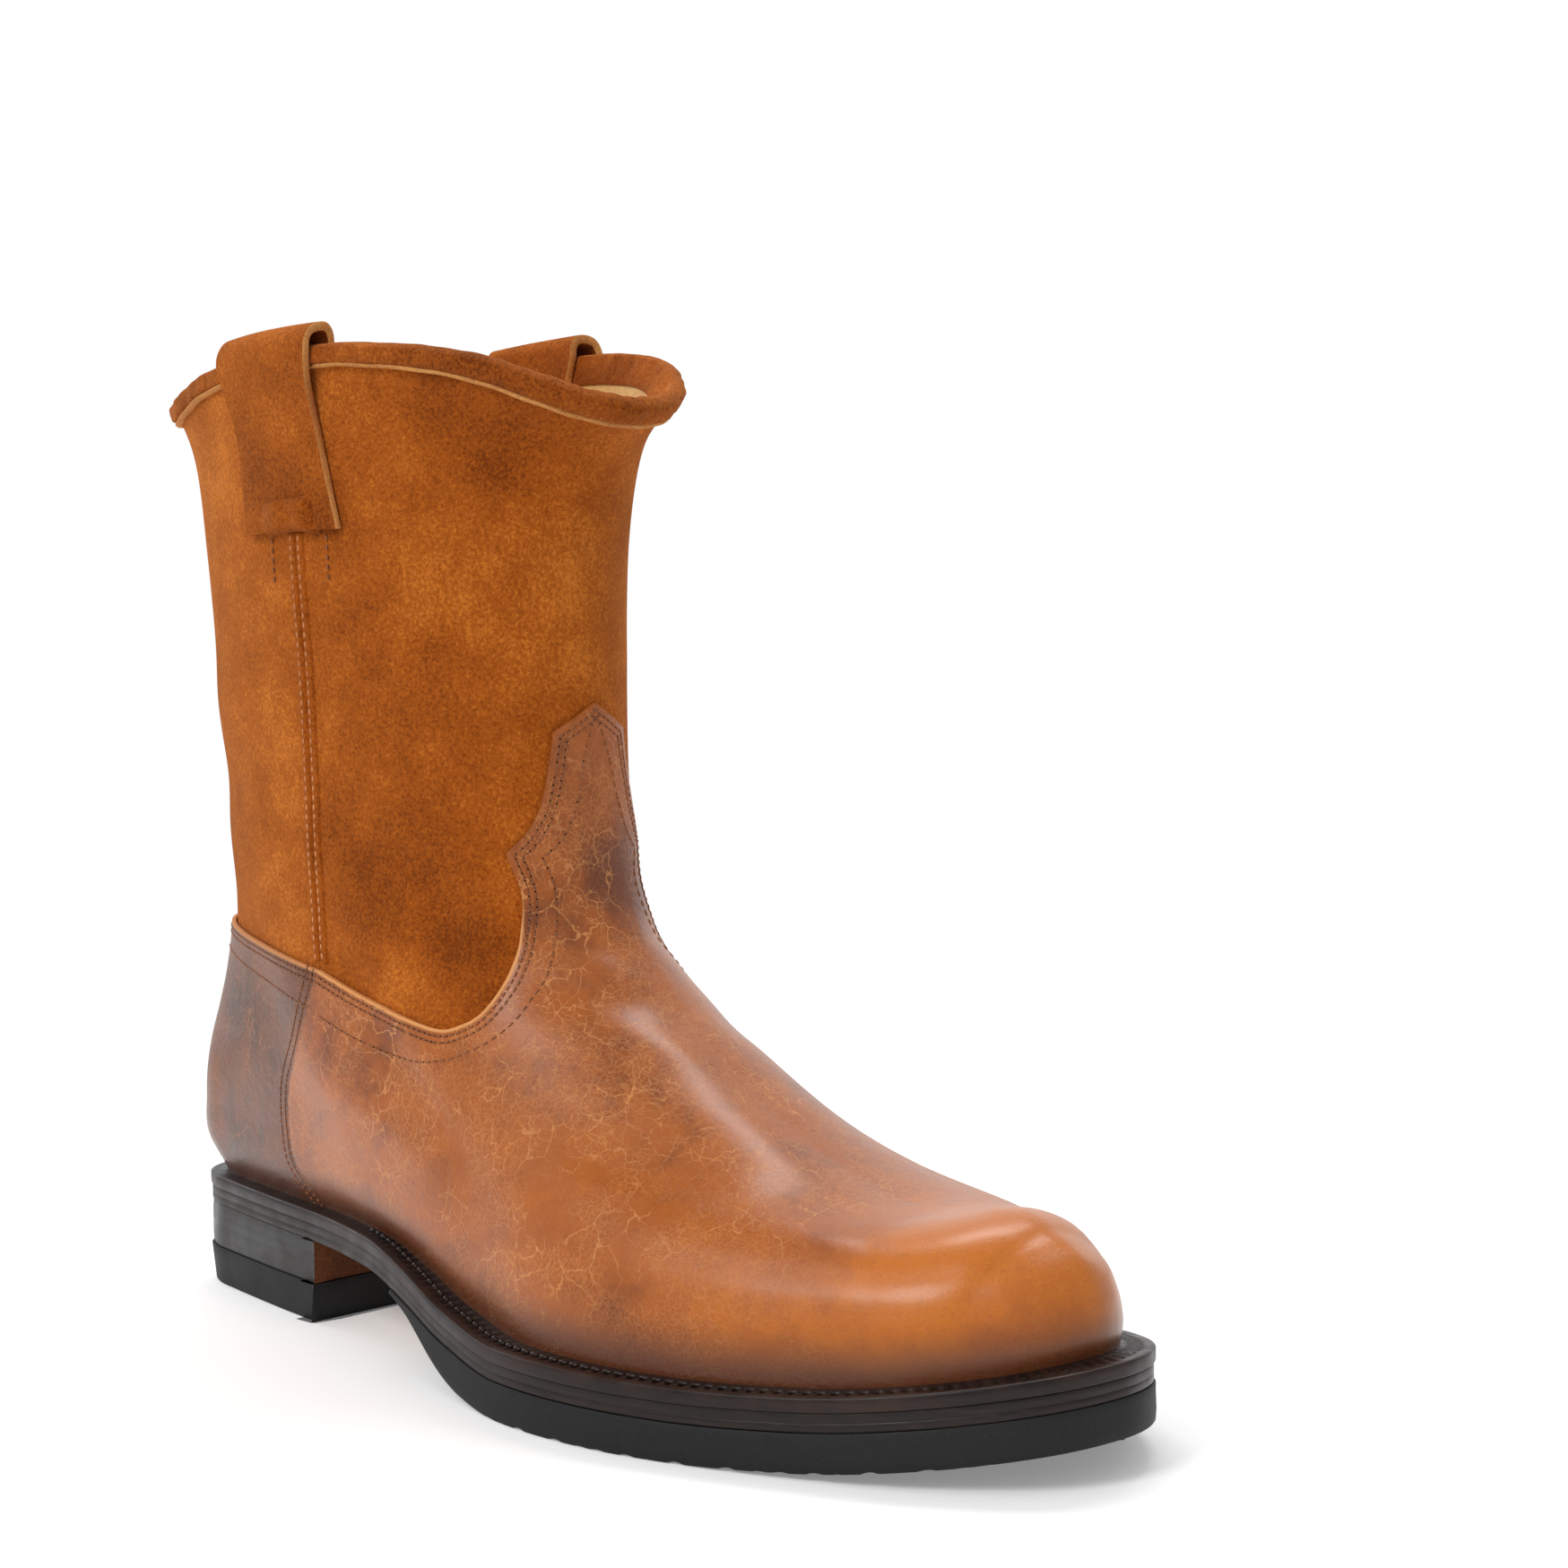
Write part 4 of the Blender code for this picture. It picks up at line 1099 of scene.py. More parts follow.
@dataclass(frozen=True)
class Coloured:
    """What a finish of three tones has, as the screen shows them."""

    name: str
    light: tuple
    middle: tuple
    dark: tuple


@dataclass(frozen=True)
class Suede(Coloured):
    """Brushed suede: a short speckled nap with softly rubbed light and dark patches."""

    # name, bumps a metre, detail, roughness, weight in the tone, weight in the relief
    layers: tuple = (
        ("patches", 22.0, 2.0, 0.5, 1.00, 0.0),
        ("rubs", 80.0, 3.0, 0.6, 0.72, 0.0),
        ("nap", 1100.0, 3.0, 0.8, 1.80, 0.9),
        ("hair", 2600.0, 2.0, 0.6, 0.30, 0.3),
    )
    offset: float = -0.40
    shading: float = -0.75
    to_middle: tuple = (0.95, 1.52)
    to_light: tuple = (1.44, 2.02)

    def made(self) -> bpy.types.Material:
        """Builds the material."""
        made, graph, shader, where = new_material(self.name)
        tone, relief = self.offset, 0.0
        for _, scale, detail, rough, toned, raised in self.layers:
            layer = graph.noise(where, scale, detail, rough)
            tone = graph.total(tone, (layer, toned))
            if raised:
                relief = graph.total(relief, (layer, raised))
        # the piece's shade numbers paint shade into the tone, and painted light where they are below 0
        tone = graph.total(tone, (graph.read("shade"), self.shading))
        graph.feed(
            shader,
            Base_Color=graph.three(tone, self.to_middle, self.to_light, self),
            Roughness=0.95,
            Specular_IOR_Level=0.10,
            Sheen_Weight=0.30,
            Sheen_Roughness=0.40,
            Sheen_Tint=linear(255, 186, 120),
            Normal=graph.bump(relief, 0.9, 0.0008),
        )
        return made


@dataclass(frozen=True)
class WaxedLeather(Coloured):
    """Pull-up leather: waxed, with light nets of creases, darker clouds and a soft gloss."""

    crease: tuple
    raw: tuple
    # the colour painted as shade towards the welt
    low: tuple = (78, 38, 20)
    offset: float = -0.20
    shading: float = -0.60
    warming: float = 0.50
    to_middle: tuple = (0.22, 0.78)
    to_light: tuple = (0.72, 1.30)
    # how strongly each shows in the colour
    lines: float = 0.75
    pores: float = 0.30
    # millimetres from the cut edge: where raw leather ends, and the middles of the pressed grooves
    raw_edge: tuple = (0.55, 1.05)
    grooves: tuple = (1.7, 3.4)
    groove_width: float = 0.6
    coat: float = 0.50

    def made(self, shared: Shared) -> bpy.types.Material:
        """Builds the material."""
        made, graph, shader, where = new_material(self.name)
        warm, edge = graph.read("warm"), graph.read("edge")
        blot = graph.noise(where, 34.0, 3.0, 0.55)
        cloud = graph.noise(where, 130.0, 4.0, 0.65)
        # blot and cloud are the leather's own tone and warm its warmer toe; the shade numbers paint shade,
        # and a painted highlight where they are below 0
        toned = (blot, 0.95), (cloud, 0.80), (warm, self.warming), (graph.read("shade"), self.shading)
        base = graph.three(graph.total(self.offset, *toned), self.to_middle, self.to_light, self)
        lines = shared.use(graph, shared.crackle, where, 250.0)
        lines = graph.math("MULTIPLY", lines, graph.step(warm, 0.30, 0.80, 1.0, 0.12))
        base = graph.mix(graph.math("MULTIPLY", lines, self.lines), base, linear(*self.crease))
        pores = graph.step(graph.noise(where, 1500.0), 0.56, 0.74)
        base = graph.mix(graph.math("MULTIPLY", pores, self.pores), base, linear(*self.dark))
        # painted shade: darker towards the welt, from 15 millimetres above it down
        base = graph.mix(graph.step(graph.read("height"), 1.0, 15.0, 0.85, 0.0), base, linear(*self.low))
        cut = graph.step(edge, *self.raw_edge, 0.9, 0.0)
        crinkle = graph.noise(where, 330.0, 4.0, 0.65)
        crinkle = graph.math("MULTIPLY", crinkle, graph.step(warm, 0.2, 0.9, 2.6, 1.0))
        height = graph.total(crinkle, (shared.use(graph, shared.grain, where, 1300.0), 0.35), (lines, -0.6))
        for groove in self.grooves:
            away = graph.math("ABSOLUTE", graph.math("SUBTRACT", edge, groove))
            height = graph.math("SUBTRACT", height, graph.step(away, 0.0, self.groove_width, 1.2, 0.0))
        graph.feed(
            shader,
            Base_Color=graph.mix(cut, base, linear(*self.raw)),
            Roughness=graph.total(0.30, (cloud, 0.16), (lines, 0.10), (cut, 0.4)),
            Specular_IOR_Level=0.22,
            Coat_Weight=graph.step(edge, 0.4, 1.2, 0.0, self.coat),
            Coat_Roughness=0.27,
            Normal=graph.bump(height, 0.6, 0.00025),
        )
        return made


@dataclass(frozen=True)
class EdgeLeather:
    """Burnished edge leather: near black brown, with a dull polish and faint layers."""

    name: str
    light: tuple
    dark: tuple
    rough: float = 0.38
    layers: float = 900.0
    specular: float = 0.32
    squeeze: tuple = (0.08, 0.08, 1.0)

    def made(self) -> bpy.types.Material:
        """Builds the material."""
        made, graph, shader, where = new_material(self.name)
        flat = graph.add("Mapping", None, Vector=where, Scale=self.squeeze).outputs[0]
        layer = graph.noise(flat, self.layers)
        cloud = graph.noise(where, 150.0, 3.0)
        tone = graph.total(0.0, (layer, 0.6), (cloud, 0.4))
        graph.feed(
            shader,
            Base_Color=graph.mix(graph.step(tone, 0.35, 0.70), linear(*self.dark), linear(*self.light)),
            Roughness=graph.step(cloud, 0.3, 0.7, self.rough - 0.06, self.rough + 0.10),
            Specular_IOR_Level=self.specular,
            Normal=graph.bump(graph.total(0.0, (layer, 0.8), (cloud, 0.4)), 0.35, 0.0002),
        )
        return made


@dataclass(frozen=True)
class Plain:
    """A plain matte finish with fine grain, for rubber, lining, thread and raw edges."""

    name: str
    light: tuple
    dark: tuple
    rough: float
    scale: float = 700.0
    bump: float = 0.3
    depth: float = 0.0002

    def made(self, shared: Shared) -> bpy.types.Material:
        """Builds the material."""
        made, graph, shader, where = new_material(self.name)
        cloud = graph.noise(where, 60.0, 3.0)
        grain = shared.use(graph, shared.grain, where, self.scale)
        tone = graph.total(0.0, (cloud, 0.6), (grain, 0.4))
        graph.feed(
            shader,
            Base_Color=graph.mix(graph.step(tone, 0.30, 0.72), linear(*self.dark), linear(*self.light)),
            Roughness=graph.step(cloud, 0.3, 0.7, self.rough - 0.05, self.rough + 0.05),
            Specular_IOR_Level=0.3,
            Normal=graph.bump(grain, self.bump, self.depth),
        )
        return made


class Finishes:
    """Every finish on the boot, built once."""

    def __init__(self) -> None:
        """Builds the materials."""
        shared = Shared()
        self.suede = Suede("suede", (214, 124, 44), (170, 86, 22), (122, 56, 10)).made()
        self.suede_dark = Suede("suede_dark", (206, 118, 46), (160, 80, 22), (104, 46, 10)).made()
        tan = ((196, 108, 24), (170, 90, 28), (116, 58, 24), (222, 150, 86), (226, 160, 98))
        self.waxed = WaxedLeather("waxed_leather", *tan).made(shared)
        brown = ((150, 88, 44), (118, 66, 36), (70, 40, 26), (176, 112, 70), (206, 142, 90))
        self.counter = WaxedLeather("counter_leather", *brown).made(shared)
        self.edge = EdgeLeather("edge_leather", (40, 27, 23), (20, 14, 12)).made()
        self.welt = EdgeLeather("welt_leather", (50, 31, 24), (20, 12, 10), 0.34, 300.0).made()
        self.stack = EdgeLeather("stack_leather", (36, 32, 30), (20, 18, 17), 0.34, 500.0).made()
        self.rubber = Plain("rubber", (30, 30, 31), (19, 19, 20), 0.62, 1800.0, 0.25).made(shared)
        self.lining = Plain("lining_leather", (232, 190, 120), (206, 156, 86), 0.55, 900.0).made(shared)
        raw = Plain("raw_edge", (220, 156, 88), (176, 108, 52), 0.9, 2500.0, 0.8, 0.0004)
        self.raw_edge = raw.made(shared)
        self.breast = Plain("heel_breast", (112, 64, 32), (72, 38, 18), 0.8, 1200.0, 0.5).made(shared)
        self.underside = Plain("sole_underside", (176, 128, 84), (138, 92, 54), 0.6, 900.0).made(shared)
        self.thread = Plain("thread", (158, 100, 62), (112, 64, 38), 0.6, 3000.0, 0.6).made(shared)
        pale = Plain("shaft_thread", (226, 158, 106), (182, 112, 66), 0.8, 3000.0, 0.6)
        self.shaft_thread = pale.made(shared)
        # dark discs painted as the shade inside the needle holes
        self.hole = Plain("needle_hole_shade", (54, 28, 14), (32, 16, 8), 0.95).made(shared)


# Shading spots


@dataclass(frozen=True)
class Spot:
    """A soft patch of tone round a place of u and t."""

    name: str
    u: float
    t: float
    radius: float
    strength: float


# Painted shade and painted light on the suede: shadows under the strap and the collar, shade in the folds,
# and lighter patches where light falls (spots below 0).
SUEDE_PAINTED_SHADE_AND_LIGHT = (
    Spot("under strap", -0.40, 12.4, 9.0, 0.25),
    Spot("beside strap foot", -0.38, 11.7, 10.0, 0.10),
    Spot("under collar", -0.30, 13.35, 14.0, 0.16),
    Spot("under collar front", -0.12, 13.1, 16.0, 0.18),
    Spot("front brow", -0.22, 12.75, 14.0, 0.14),
    Spot("mid fold", -0.24, 11.1, 12.0, 0.16),
    Spot("low fold", -0.31, 9.1, 14.0, 0.26),
    Spot("low fold end", -0.30, 8.6, 10.0, 0.20),
    Spot("low side", -0.42, 9.1, 14.0, 0.22),
    Spot("throat", -0.27, 8.2, 12.0, 0.25),
    Spot("side light", -0.50, 10.2, 12.0, -0.10),
    Spot("back light", -0.66, 12.0, 22.0, -0.12),
    Spot("back dark", -0.62, 10.2, 12.0, 0.25),
    Spot("front light", -0.03, 11.9, 14.0, -0.20),
    Spot("front light low", -0.04, 11.2, 12.0, -0.15),
)
# Mostly painted shade on the vamp: in its creases, round the ankle and throat, by the seams and low on the
# wall. There is one painted highlight (below 0), and one blotch of the leather's own darker tone on the toe.
VAMP_PAINTED_SHADE_AND_BLOTCH = (
    Spot("ankle front", 0.03, 9.25, 9.0, 0.85),
    Spot("ankle wrinkle", -0.11, 8.72, 9.0, 0.45),
    Spot("beside rows", -0.17, 8.9, 8.0, 0.35),
    Spot("throat", -0.24, 8.0, 8.0, 0.25),
    Spot("seam top", -0.53, 7.1, 12.0, 0.40),
    Spot("seam low", -0.66, 4.6, 10.0, 0.20),
    Spot("inner ankle", 0.12, 8.9, 12.0, 0.50),
    Spot("toe side", -0.20, 3.6, 10.0, 0.30),
    Spot("toe blotch", -0.02, 2.6, 7.0, 0.30),
    Spot("low wall", -0.35, 0.8, 14.0, 0.25),
    # a painted highlight: lighter where a soft box's reflection falls
    Spot("outer sheen", -0.36, 4.2, 18.0, -0.35),
    Spot("toe low", -0.1, 0.8, 14.0, 0.30),
)
VAMP_WARM = (
    Spot("toe", 0.0, 3.0, 34.0, 0.95),
    Spot("toe side", -0.20, 2.0, 26.0, 0.75),
    Spot("toe inner", 0.15, 2.4, 26.0, 0.75),
    Spot("outer ball", -0.32, 1.8, 22.0, 0.55),
    Spot("saddle", 0.05, 4.4, 16.0, 0.30),
    Spot("ridge", -0.02, 6.6, 16.0, 0.25),
)
# Blotches of the counter leather's own darker tone, a darker patch high on the counter, and painted shade
# low down near the welt.
COUNTER_BLOTCHES_AND_PAINTED_SHADE = (
    Spot("upper", 0.75, 6.0, 14.0, 0.35),
    Spot("blotch", 0.70, 3.9, 8.0, 0.55),
    Spot("rear blotch", 0.82, 5.3, 9.0, 0.30),
    Spot("low", 0.80, 1.2, 14.0, 0.30),
)


def spotted(points: Array, spots: Sequence[Spot], sides: Sequence[Side] = (Side.MEDIAL,)) -> Array:
    """The sum of the spots' tones.

    Args:
        points: Points on the skin.
        spots: The spots.
        sides: Where they show: as written on the medial side, mirrored on the other.

    Returns:
        One tone for each point.
    """
    total = np.zeros(len(points))
    for spot in spots:
        for side in sides:
            middle = SKIN.at(np.array([spot.u * side.value]), np.array([spot.t]), 0.0)
            away = np.linalg.norm(points - middle, axis=1) / (spot.radius * MM)
            total += spot.strength * np.exp(-(away**2))
    return total


# The upper


def round_foot(across: Array) -> Array:
    """Places u all the way round the foot, from the back."""
    return (across * 2.0 - 1.0) % 2.0


@dataclass
class Shaft:
    """The suede shaft with its lining, side seams, collar binding and piping."""

    finishes: Finishes
    columns: int = 340
    rows: int = 104
    lowest: float = 6.6
    suede_wall: float = 0.0012
    lining_columns: int = 160
    lining_rows: int = 110
    lining_lowest: float = 0.35
    lining_wall: float = 0.0009
    lining_gap: float = 0.0001
    seam_width: float = 0.0062
    seam_height: float = 0.0009
    seam_dip: float = 0.0007
    dip_share: float = 0.14
    seam_columns: int = 18
    seam_rows: int = 120
    collar_columns: int = 420
    binding: float = 0.0012
    band_low: float = 13.755
    band_inner_low: float = 13.50
    band_crown: float = 0.085
    # height in metres and number round the collar
    band_ripples: tuple = ((0.00022, 23), (0.00015, 61))
    piping_radius: float = 0.00143
    piping_rings: float = 0.048
    piping_below: float = 0.030
    piping_wave: tuple = (0.006, 31)

    def tube(self, name: str, size: tuple[int, int], low: float, off: float) -> bpy.types.Object:
        """An open sheet round the leg.

        Args:
            name: The piece's name.
            size: Faces round it and up it.
            low: The ring that it starts from; it ends at the collar.
            off: How far outside the shaft's leather.

        Returns:
            The sheet, facing out.
        """

        def place(across: Array, up: Array) -> Array:
            """Points of the sheet."""
            t = low + (LAST.top_ring - low) * up
            return SKIN.at(round_foot(across), t, LAST.base_off(t) + off)

        piece = sheet(name, *size, place)
        face_out(piece)
        return piece

    def outside(self) -> None:
        """The suede, from under the foot's leather to the collar."""
        piece = self.tube("shaft_suede", (self.columns, self.rows), self.lowest, 0.0)
        attribute(piece, "shade", spotted(read_points(piece), SUEDE_PAINTED_SHADE_AND_LIGHT))
        thicken(piece, self.suede_wall)
        hand_over(piece, 60.0, [self.finishes.suede], "suede", "upper")

    def lining(self) -> None:
        """The natural leather lining, down to the insole."""
        size = (self.lining_columns, self.lining_rows)
        piece = self.tube("shaft_lining", size, self.lining_lowest, -(self.suede_wall + self.lining_gap))
        thicken(piece, self.lining_wall)
        hand_over(piece, 60.0, [self.finishes.lining], "lining_leather", "upper")

    def band_profile(self) -> Array:
        """The binding's section over the edge, from its outer to its inner foot.

        Returns:
            Rows of the ring t and the distance outside the last.
        """
        back = -(LAST.wall + LAST.gap + self.binding)
        out = LAST.gap + self.binding
        middle, half = (out + back) / 2.0, (out - back) / 2.0
        low, inner = self.band_low, self.band_inner_low
        outer_foot = [(low, out * 0.4), (low + 0.012, out * 0.95), (low + 0.06, out + 0.0003)]
        angle = np.linspace(0.0, np.pi, 13)
        crown = np.c_[LAST.top_ring + self.band_crown * np.sin(angle), middle + half * np.cos(angle)]
        inner_foot = [(13.85, back), (inner + 0.05, back - 0.0001), (inner, back * 0.75)]
        return np.vstack([outer_foot, [(13.93, out + 0.0002)], crown, inner_foot])

    def band(self) -> None:
        """The folded suede binding over the collar's edge."""
        profile = self.band_profile()
        rows = len(profile) - 1

        def place(across: Array, up: Array) -> Array:
            """Points of the binding, rolled over the edge."""
            index = np.round(up * rows).astype(int)
            t, off = profile[index].T
            wave = sum(height * np.sin(across * 2 * np.pi * count) for height, count in self.band_ripples)
            puffy = np.where((index > 1) & (index < rows - 1), wave, 0.0)
            return SKIN.at(round_foot(across), t, off + puffy)

        piece = sheet("collar_band", self.collar_columns, rows, place)
        face_out(piece)
        # painted shade, even over the whole binding
        attribute(piece, "shade", 0.1)
        hand_over(piece, 70.0, [self.finishes.suede_dark], "suede_dark", "collar_binding")

    def piping(self) -> None:
        """The thin raw edge that shows below the binding."""

        def place(across: Array, up: Array) -> Array:
            """Points of the piping, a thin flattened roll."""
            angle = up * 2.0 * np.pi
            height, count = self.piping_wave
            wave = height * np.sin(across * 2 * np.pi * count)
            t = self.band_low - self.piping_below + wave + np.sin(angle) * self.piping_rings
            return SKIN.at(round_foot(across), t, LAST.gap + self.piping_radius * np.cos(angle))

        piece = sheet("collar_piping", self.collar_columns, 8, place)
        face_out(piece)
        hand_over(piece, 80.0, [self.finishes.raw_edge], "lining_leather")

    def side_strip(self, side: Side) -> None:
        """The raised strip down one side of the shaft."""
        line = line_through(PATTERNS.side_seam, 1.0)
        step = 0.001
        ends = [SKIN.at(line[:, 0] + by, line[:, 1], 0.0) for by in (step, -step)]
        half = self.seam_width * step / np.linalg.norm(ends[0] - ends[1], axis=1)

        def place(across: Array, up: Array) -> Array:
            """Points of the strip, crowned and dipped along its middle."""
            index = up * (len(line) - 1)
            u, t = between(line, index).T
            width = np.interp(index, np.arange(len(line)), half)
            from_middle = across * 2.0 - 1.0
            crown = (1.0 - np.abs(from_middle) ** 10) * self.seam_height
            crown -= self.seam_dip * np.exp(-((from_middle / self.dip_share) ** 2))
            return SKIN.at(side.value * u + from_middle * width, t, LAST.base_off(t) - 0.0002 + crown)

        name = side.name.lower()
        piece = sheet(f"side_strip_{name}", self.seam_columns, self.seam_rows, place)
        face_out(piece)
        # painted shade, even over the whole strip
        attribute(piece, "shade", 0.15)
        hand_over(piece, 70.0, [self.finishes.suede], "suede", f"side_seam_{name}")

    def build(self) -> None:
        """Builds the shaft's pieces."""
        self.outside()
        self.lining()
        self.band()
        self.piping()
        for side in Side:
            self.side_strip(side)


@dataclass
class FootLeather:
    """The vamp with its tongue, and the counter, cut and laid over the foot."""

    finishes: Finishes
    spacing: float = 1.35
    seam_gap: float = 0.45
    rounding: float = 0.0003
    lowest: float = -0.12
    seam_end: float = 0.02

    def top_line(self) -> Array:
        """The vamp's top line on one side, from the seam to the peak."""
        curve, tongue, peak = (
            line_through(rows) for rows in (PATTERNS.vamp_curve, PATTERNS.tongue, PATTERNS.peak)
        )
        return np.vstack([curve, tongue[1:], peak[1:]])

    def half_border(self, top: Array, by: float, middle: float, count: int) -> Array:
        """Half a leather's cut line.

        Args:
            top: Its top line.
            by: How far it ends from the foot seam, in millimetres.
            middle: The u that it starts from, at the welt.
            count: Places along the welt.

        Returns:
            Places from the middle, under the welt, up the seam and along the top.
        """
        seam = moved_in(line_through(PATTERNS.foot_seam), by)
        seam = seam[seam[:, 1] < top[0, 1] - self.seam_end]
        welt = np.c_[np.linspace(middle, seam[-1, 0], count), np.full(count, self.lowest)]
        return np.vstack([welt, seam[::-1], top])

    def lay(self, name: str, border: Array, edge: Array) -> bpy.types.Object:
        """Lays a leather on the foot.

        Args:
            name: The piece's name.
            border: Its closed cut line.
            edge: The part of the line that shows its cut.

        Returns:
            The sheet, with its distance from the cut and its height above the welt stored.
        """
        piece = patch(name, border, LAST.gap + LAST.overlay, self.spacing)
        face_out(piece)
        points = read_points(piece)
        attribute(piece, "edge", nearest(points, SKIN.at(edge[:, 0], edge[:, 1], 0.0)) / MM)
        welt = LAST.welt_top(points[:, 0] + LAST.heel_middle)
        attribute(piece, "height", (points[:, 2] - welt) / MM)
        return piece

    def vamp(self) -> None:
        """The foot's leather from seam to seam, with the tongue on the shaft."""
        top = self.top_line()
        half = self.half_border(top, self.seam_gap, 0.0, 90)
        border = np.vstack([mirrored(half), half[1:-1][::-1]])
        piece = self.lay("vamp_leather", border, np.vstack([top, mirrored(top)]))
        points = read_points(piece)
        attribute(piece, "shade", spotted(points, VAMP_PAINTED_SHADE_AND_BLOTCH))
        attribute(piece, "warm", spotted(points, VAMP_WARM))
        thicken(piece, LAST.overlay, self.rounding)
        hand_over(piece, 60.0, [self.finishes.waxed], "waxed_leather", "vamp")

    def counter(self) -> None:
        """The heel's leather between the two foot seams, round the back."""
        top = line_through(PATTERNS.counter_top)
        half = self.half_border(top, -self.seam_gap, 1.0, 60)
        round_back = (2.0, 0.0)
        border = np.vstack([half, mirrored(half[1:-1][::-1]) + round_back])[::-1]
        piece = self.lay("counter_leather", border, np.vstack([top, mirrored(top) + round_back]))
        attribute(piece, "shade", spotted(read_points(piece), COUNTER_BLOTCHES_AND_PAINTED_SHADE, tuple(Side)))
        attribute(piece, "warm", 0.0)
        thicken(piece, LAST.overlay, self.rounding)
        hand_over(piece, 60.0, [self.finishes.counter], "counter_leather", "counter")

    def build(self) -> None:
        """Builds both leathers."""
        self.vamp()
        self.counter()


@dataclass
class PullStraps:
    """The two pull straps over the collar, each with a tab over its foot."""

    finishes: Finishes
    thickness: float = 0.0022
    face_columns: int = 14
    rows: int = 130
    # across the strap, where 1 is its edge, and share of the thickness
    rounded_edge: tuple = ((1.012, 0.85), (1.016, 0.50), (1.012, 0.15))
    edge_slope: float = 0.75
    edge_band: float = 0.012
    tab_size: tuple = (26, 16)
    tab_place: tuple = (0.470, 12.18)
    tab_half: tuple = (0.047, 0.140)
    tab_taper: float = 0.12
    tab_bow: float = 0.03
    tab_height: float = 0.0044
    tab_ripple: float = 0.0003
    # t, off, up, facing off, facing up, u, half width; off and up in millimetres
    path: tuple = (
        (12.05, 0.3, 0.0, 1.00, 0.00, 0.471, 0.0790),
        (12.60, 0.4, 0.0, 1.00, 0.00, 0.484, 0.0700),
        (13.10, 0.8, 0.0, 1.00, 0.00, 0.497, 0.0665),
        (13.55, 1.9, 0.0, 1.00, 0.00, 0.503, 0.0660),
        (14.00, 2.4, 0.0, 1.00, 0.00, 0.505, 0.0660),
        (14.00, 2.1, 2.7, 0.82, 0.57, 0.505, 0.0660),
        (14.00, 0.7, 4.2, 0.26, 0.97, 0.505, 0.0660),
        (14.00, -2.7, 4.2, -0.26, 0.97, 0.505, 0.0660),
        (14.00, -4.0, 2.7, -0.82, 0.57, 0.505, 0.0660),
        (14.00, -4.3, 0.0, -1.00, 0.00, 0.505, 0.0660),
        (13.55, -4.0, 0.0, -1.00, 0.00, 0.503, 0.0660),
        (13.10, -3.0, 0.0, -1.00, 0.00, 0.500, 0.0660),
        (12.60, -2.6, 0.0, -1.00, 0.00, 0.497, 0.0660),
        (12.10, -2.6, 0.0, -1.00, 0.00, 0.495, 0.0660),
    )

    def strap_points(self, side: Side, along: Array, across: Array, deep: Array) -> Array:
        """Points in a strap.

        Args:
            side: The side of the boot.
            along: Share of the way over the collar.
            across: -1 to 1 across the strap.
            deep: 0 on the near face, 1 on the far one.

        Returns:
            Points in the boot's frame.
        """
        rows = np.array(self.path)
        index, knots = along * (len(rows) - 1), np.arange(len(rows))
        t, off, up, facing, lift, middle, half = (through(knots, column, index) for column in rows.T)
        u = side.value * (middle + half * across)
        far = self.thickness * deep
        points = LAST.surface(u, t) + LAST.normals(u, t) * (MM * off + far * facing)[:, None]
        points[:, 2] += MM * up + far * lift + LAST.gap
        return points - (LAST.heel_middle, 0.0, 0.0)

    def strap(self, side: Side) -> None:
        """One strap as a flat tube with soft edges."""
        wide = np.linspace(-1.0, 1.0, self.face_columns + 1)
        edge = np.array(self.rounded_edge)
        far = np.vstack([np.c_[wide, np.ones(len(wide))], edge])
        section = np.vstack([far, far * (-1.0, -1.0) + (0.0, 1.0), far[:1]])
        count = len(section) - 1

        def place(across: Array, up: Array) -> Array:
            """Points round the strap's section and along it."""
            return self.strap_points(side, up, *section[np.round(across * count).astype(int)].T)

        name = side.name.lower()
        piece = sheet(f"pull_strap_{name}_suede", count, self.rows, place)
        fill_holes(piece)
        face_out(piece)
        # painted shade, even over the whole strap
        attribute(piece, "shade", 0.22)
        finishes = [self.finishes.suede, self.finishes.raw_edge]
        hand_over(piece, 50.0, finishes, "suede", f"pull_strap_{name}")
        self.light_edges(piece)

    def light_edges(self, piece: bpy.types.Object) -> None:
        """Gives the strap's cut edges the raw leather's finish."""
        faces = piece.data.polygons
        along = np.array([face.center.x for face in faces])
        low, high = along.min() + self.edge_band, along.max() - self.edge_band
        for face, x in zip(faces, along):
            if abs(face.normal.x) > self.edge_slope and not low <= x <= high:
                face.material_index = 1

    def tab(self, side: Side) -> None:
        """The small suede tab that holds the strap's foot."""

        def place(across: Array, up: Array) -> Array:
            """Points of the tab, a soft low pad."""
            a, b = across * 2.0 - 1.0, up * 2.0 - 1.0
            swell = (np.maximum(1.0 - np.abs(a) ** 5, 0.0) * np.maximum(1.0 - np.abs(b) ** 4, 0.0)) ** 0.5
            (middle_u, middle_t), (half_u, half_t) = self.tab_place, self.tab_half
            u = side.value * (middle_u + half_u * a * (1.0 - self.tab_taper * np.maximum(b, 0.0)))
            t = middle_t + half_t * b + self.tab_bow * a**2 * b
            ripple = self.tab_ripple * np.sin(a * 7.0) * swell
            return SKIN.at(u, t, 0.0002 + self.tab_height * swell + ripple)

        piece = sheet(f"strap_tab_{side.name.lower()}", *self.tab_size, place)
        face_out(piece)
        # painted shade, even over the whole tab
        attribute(piece, "shade", 0.18)
        hand_over(piece, 80.0, [self.finishes.suede], "suede")

    def build(self) -> None:
        """Builds the straps and their tabs."""
        for side in Side:
            self.strap(side)
            self.tab(side)


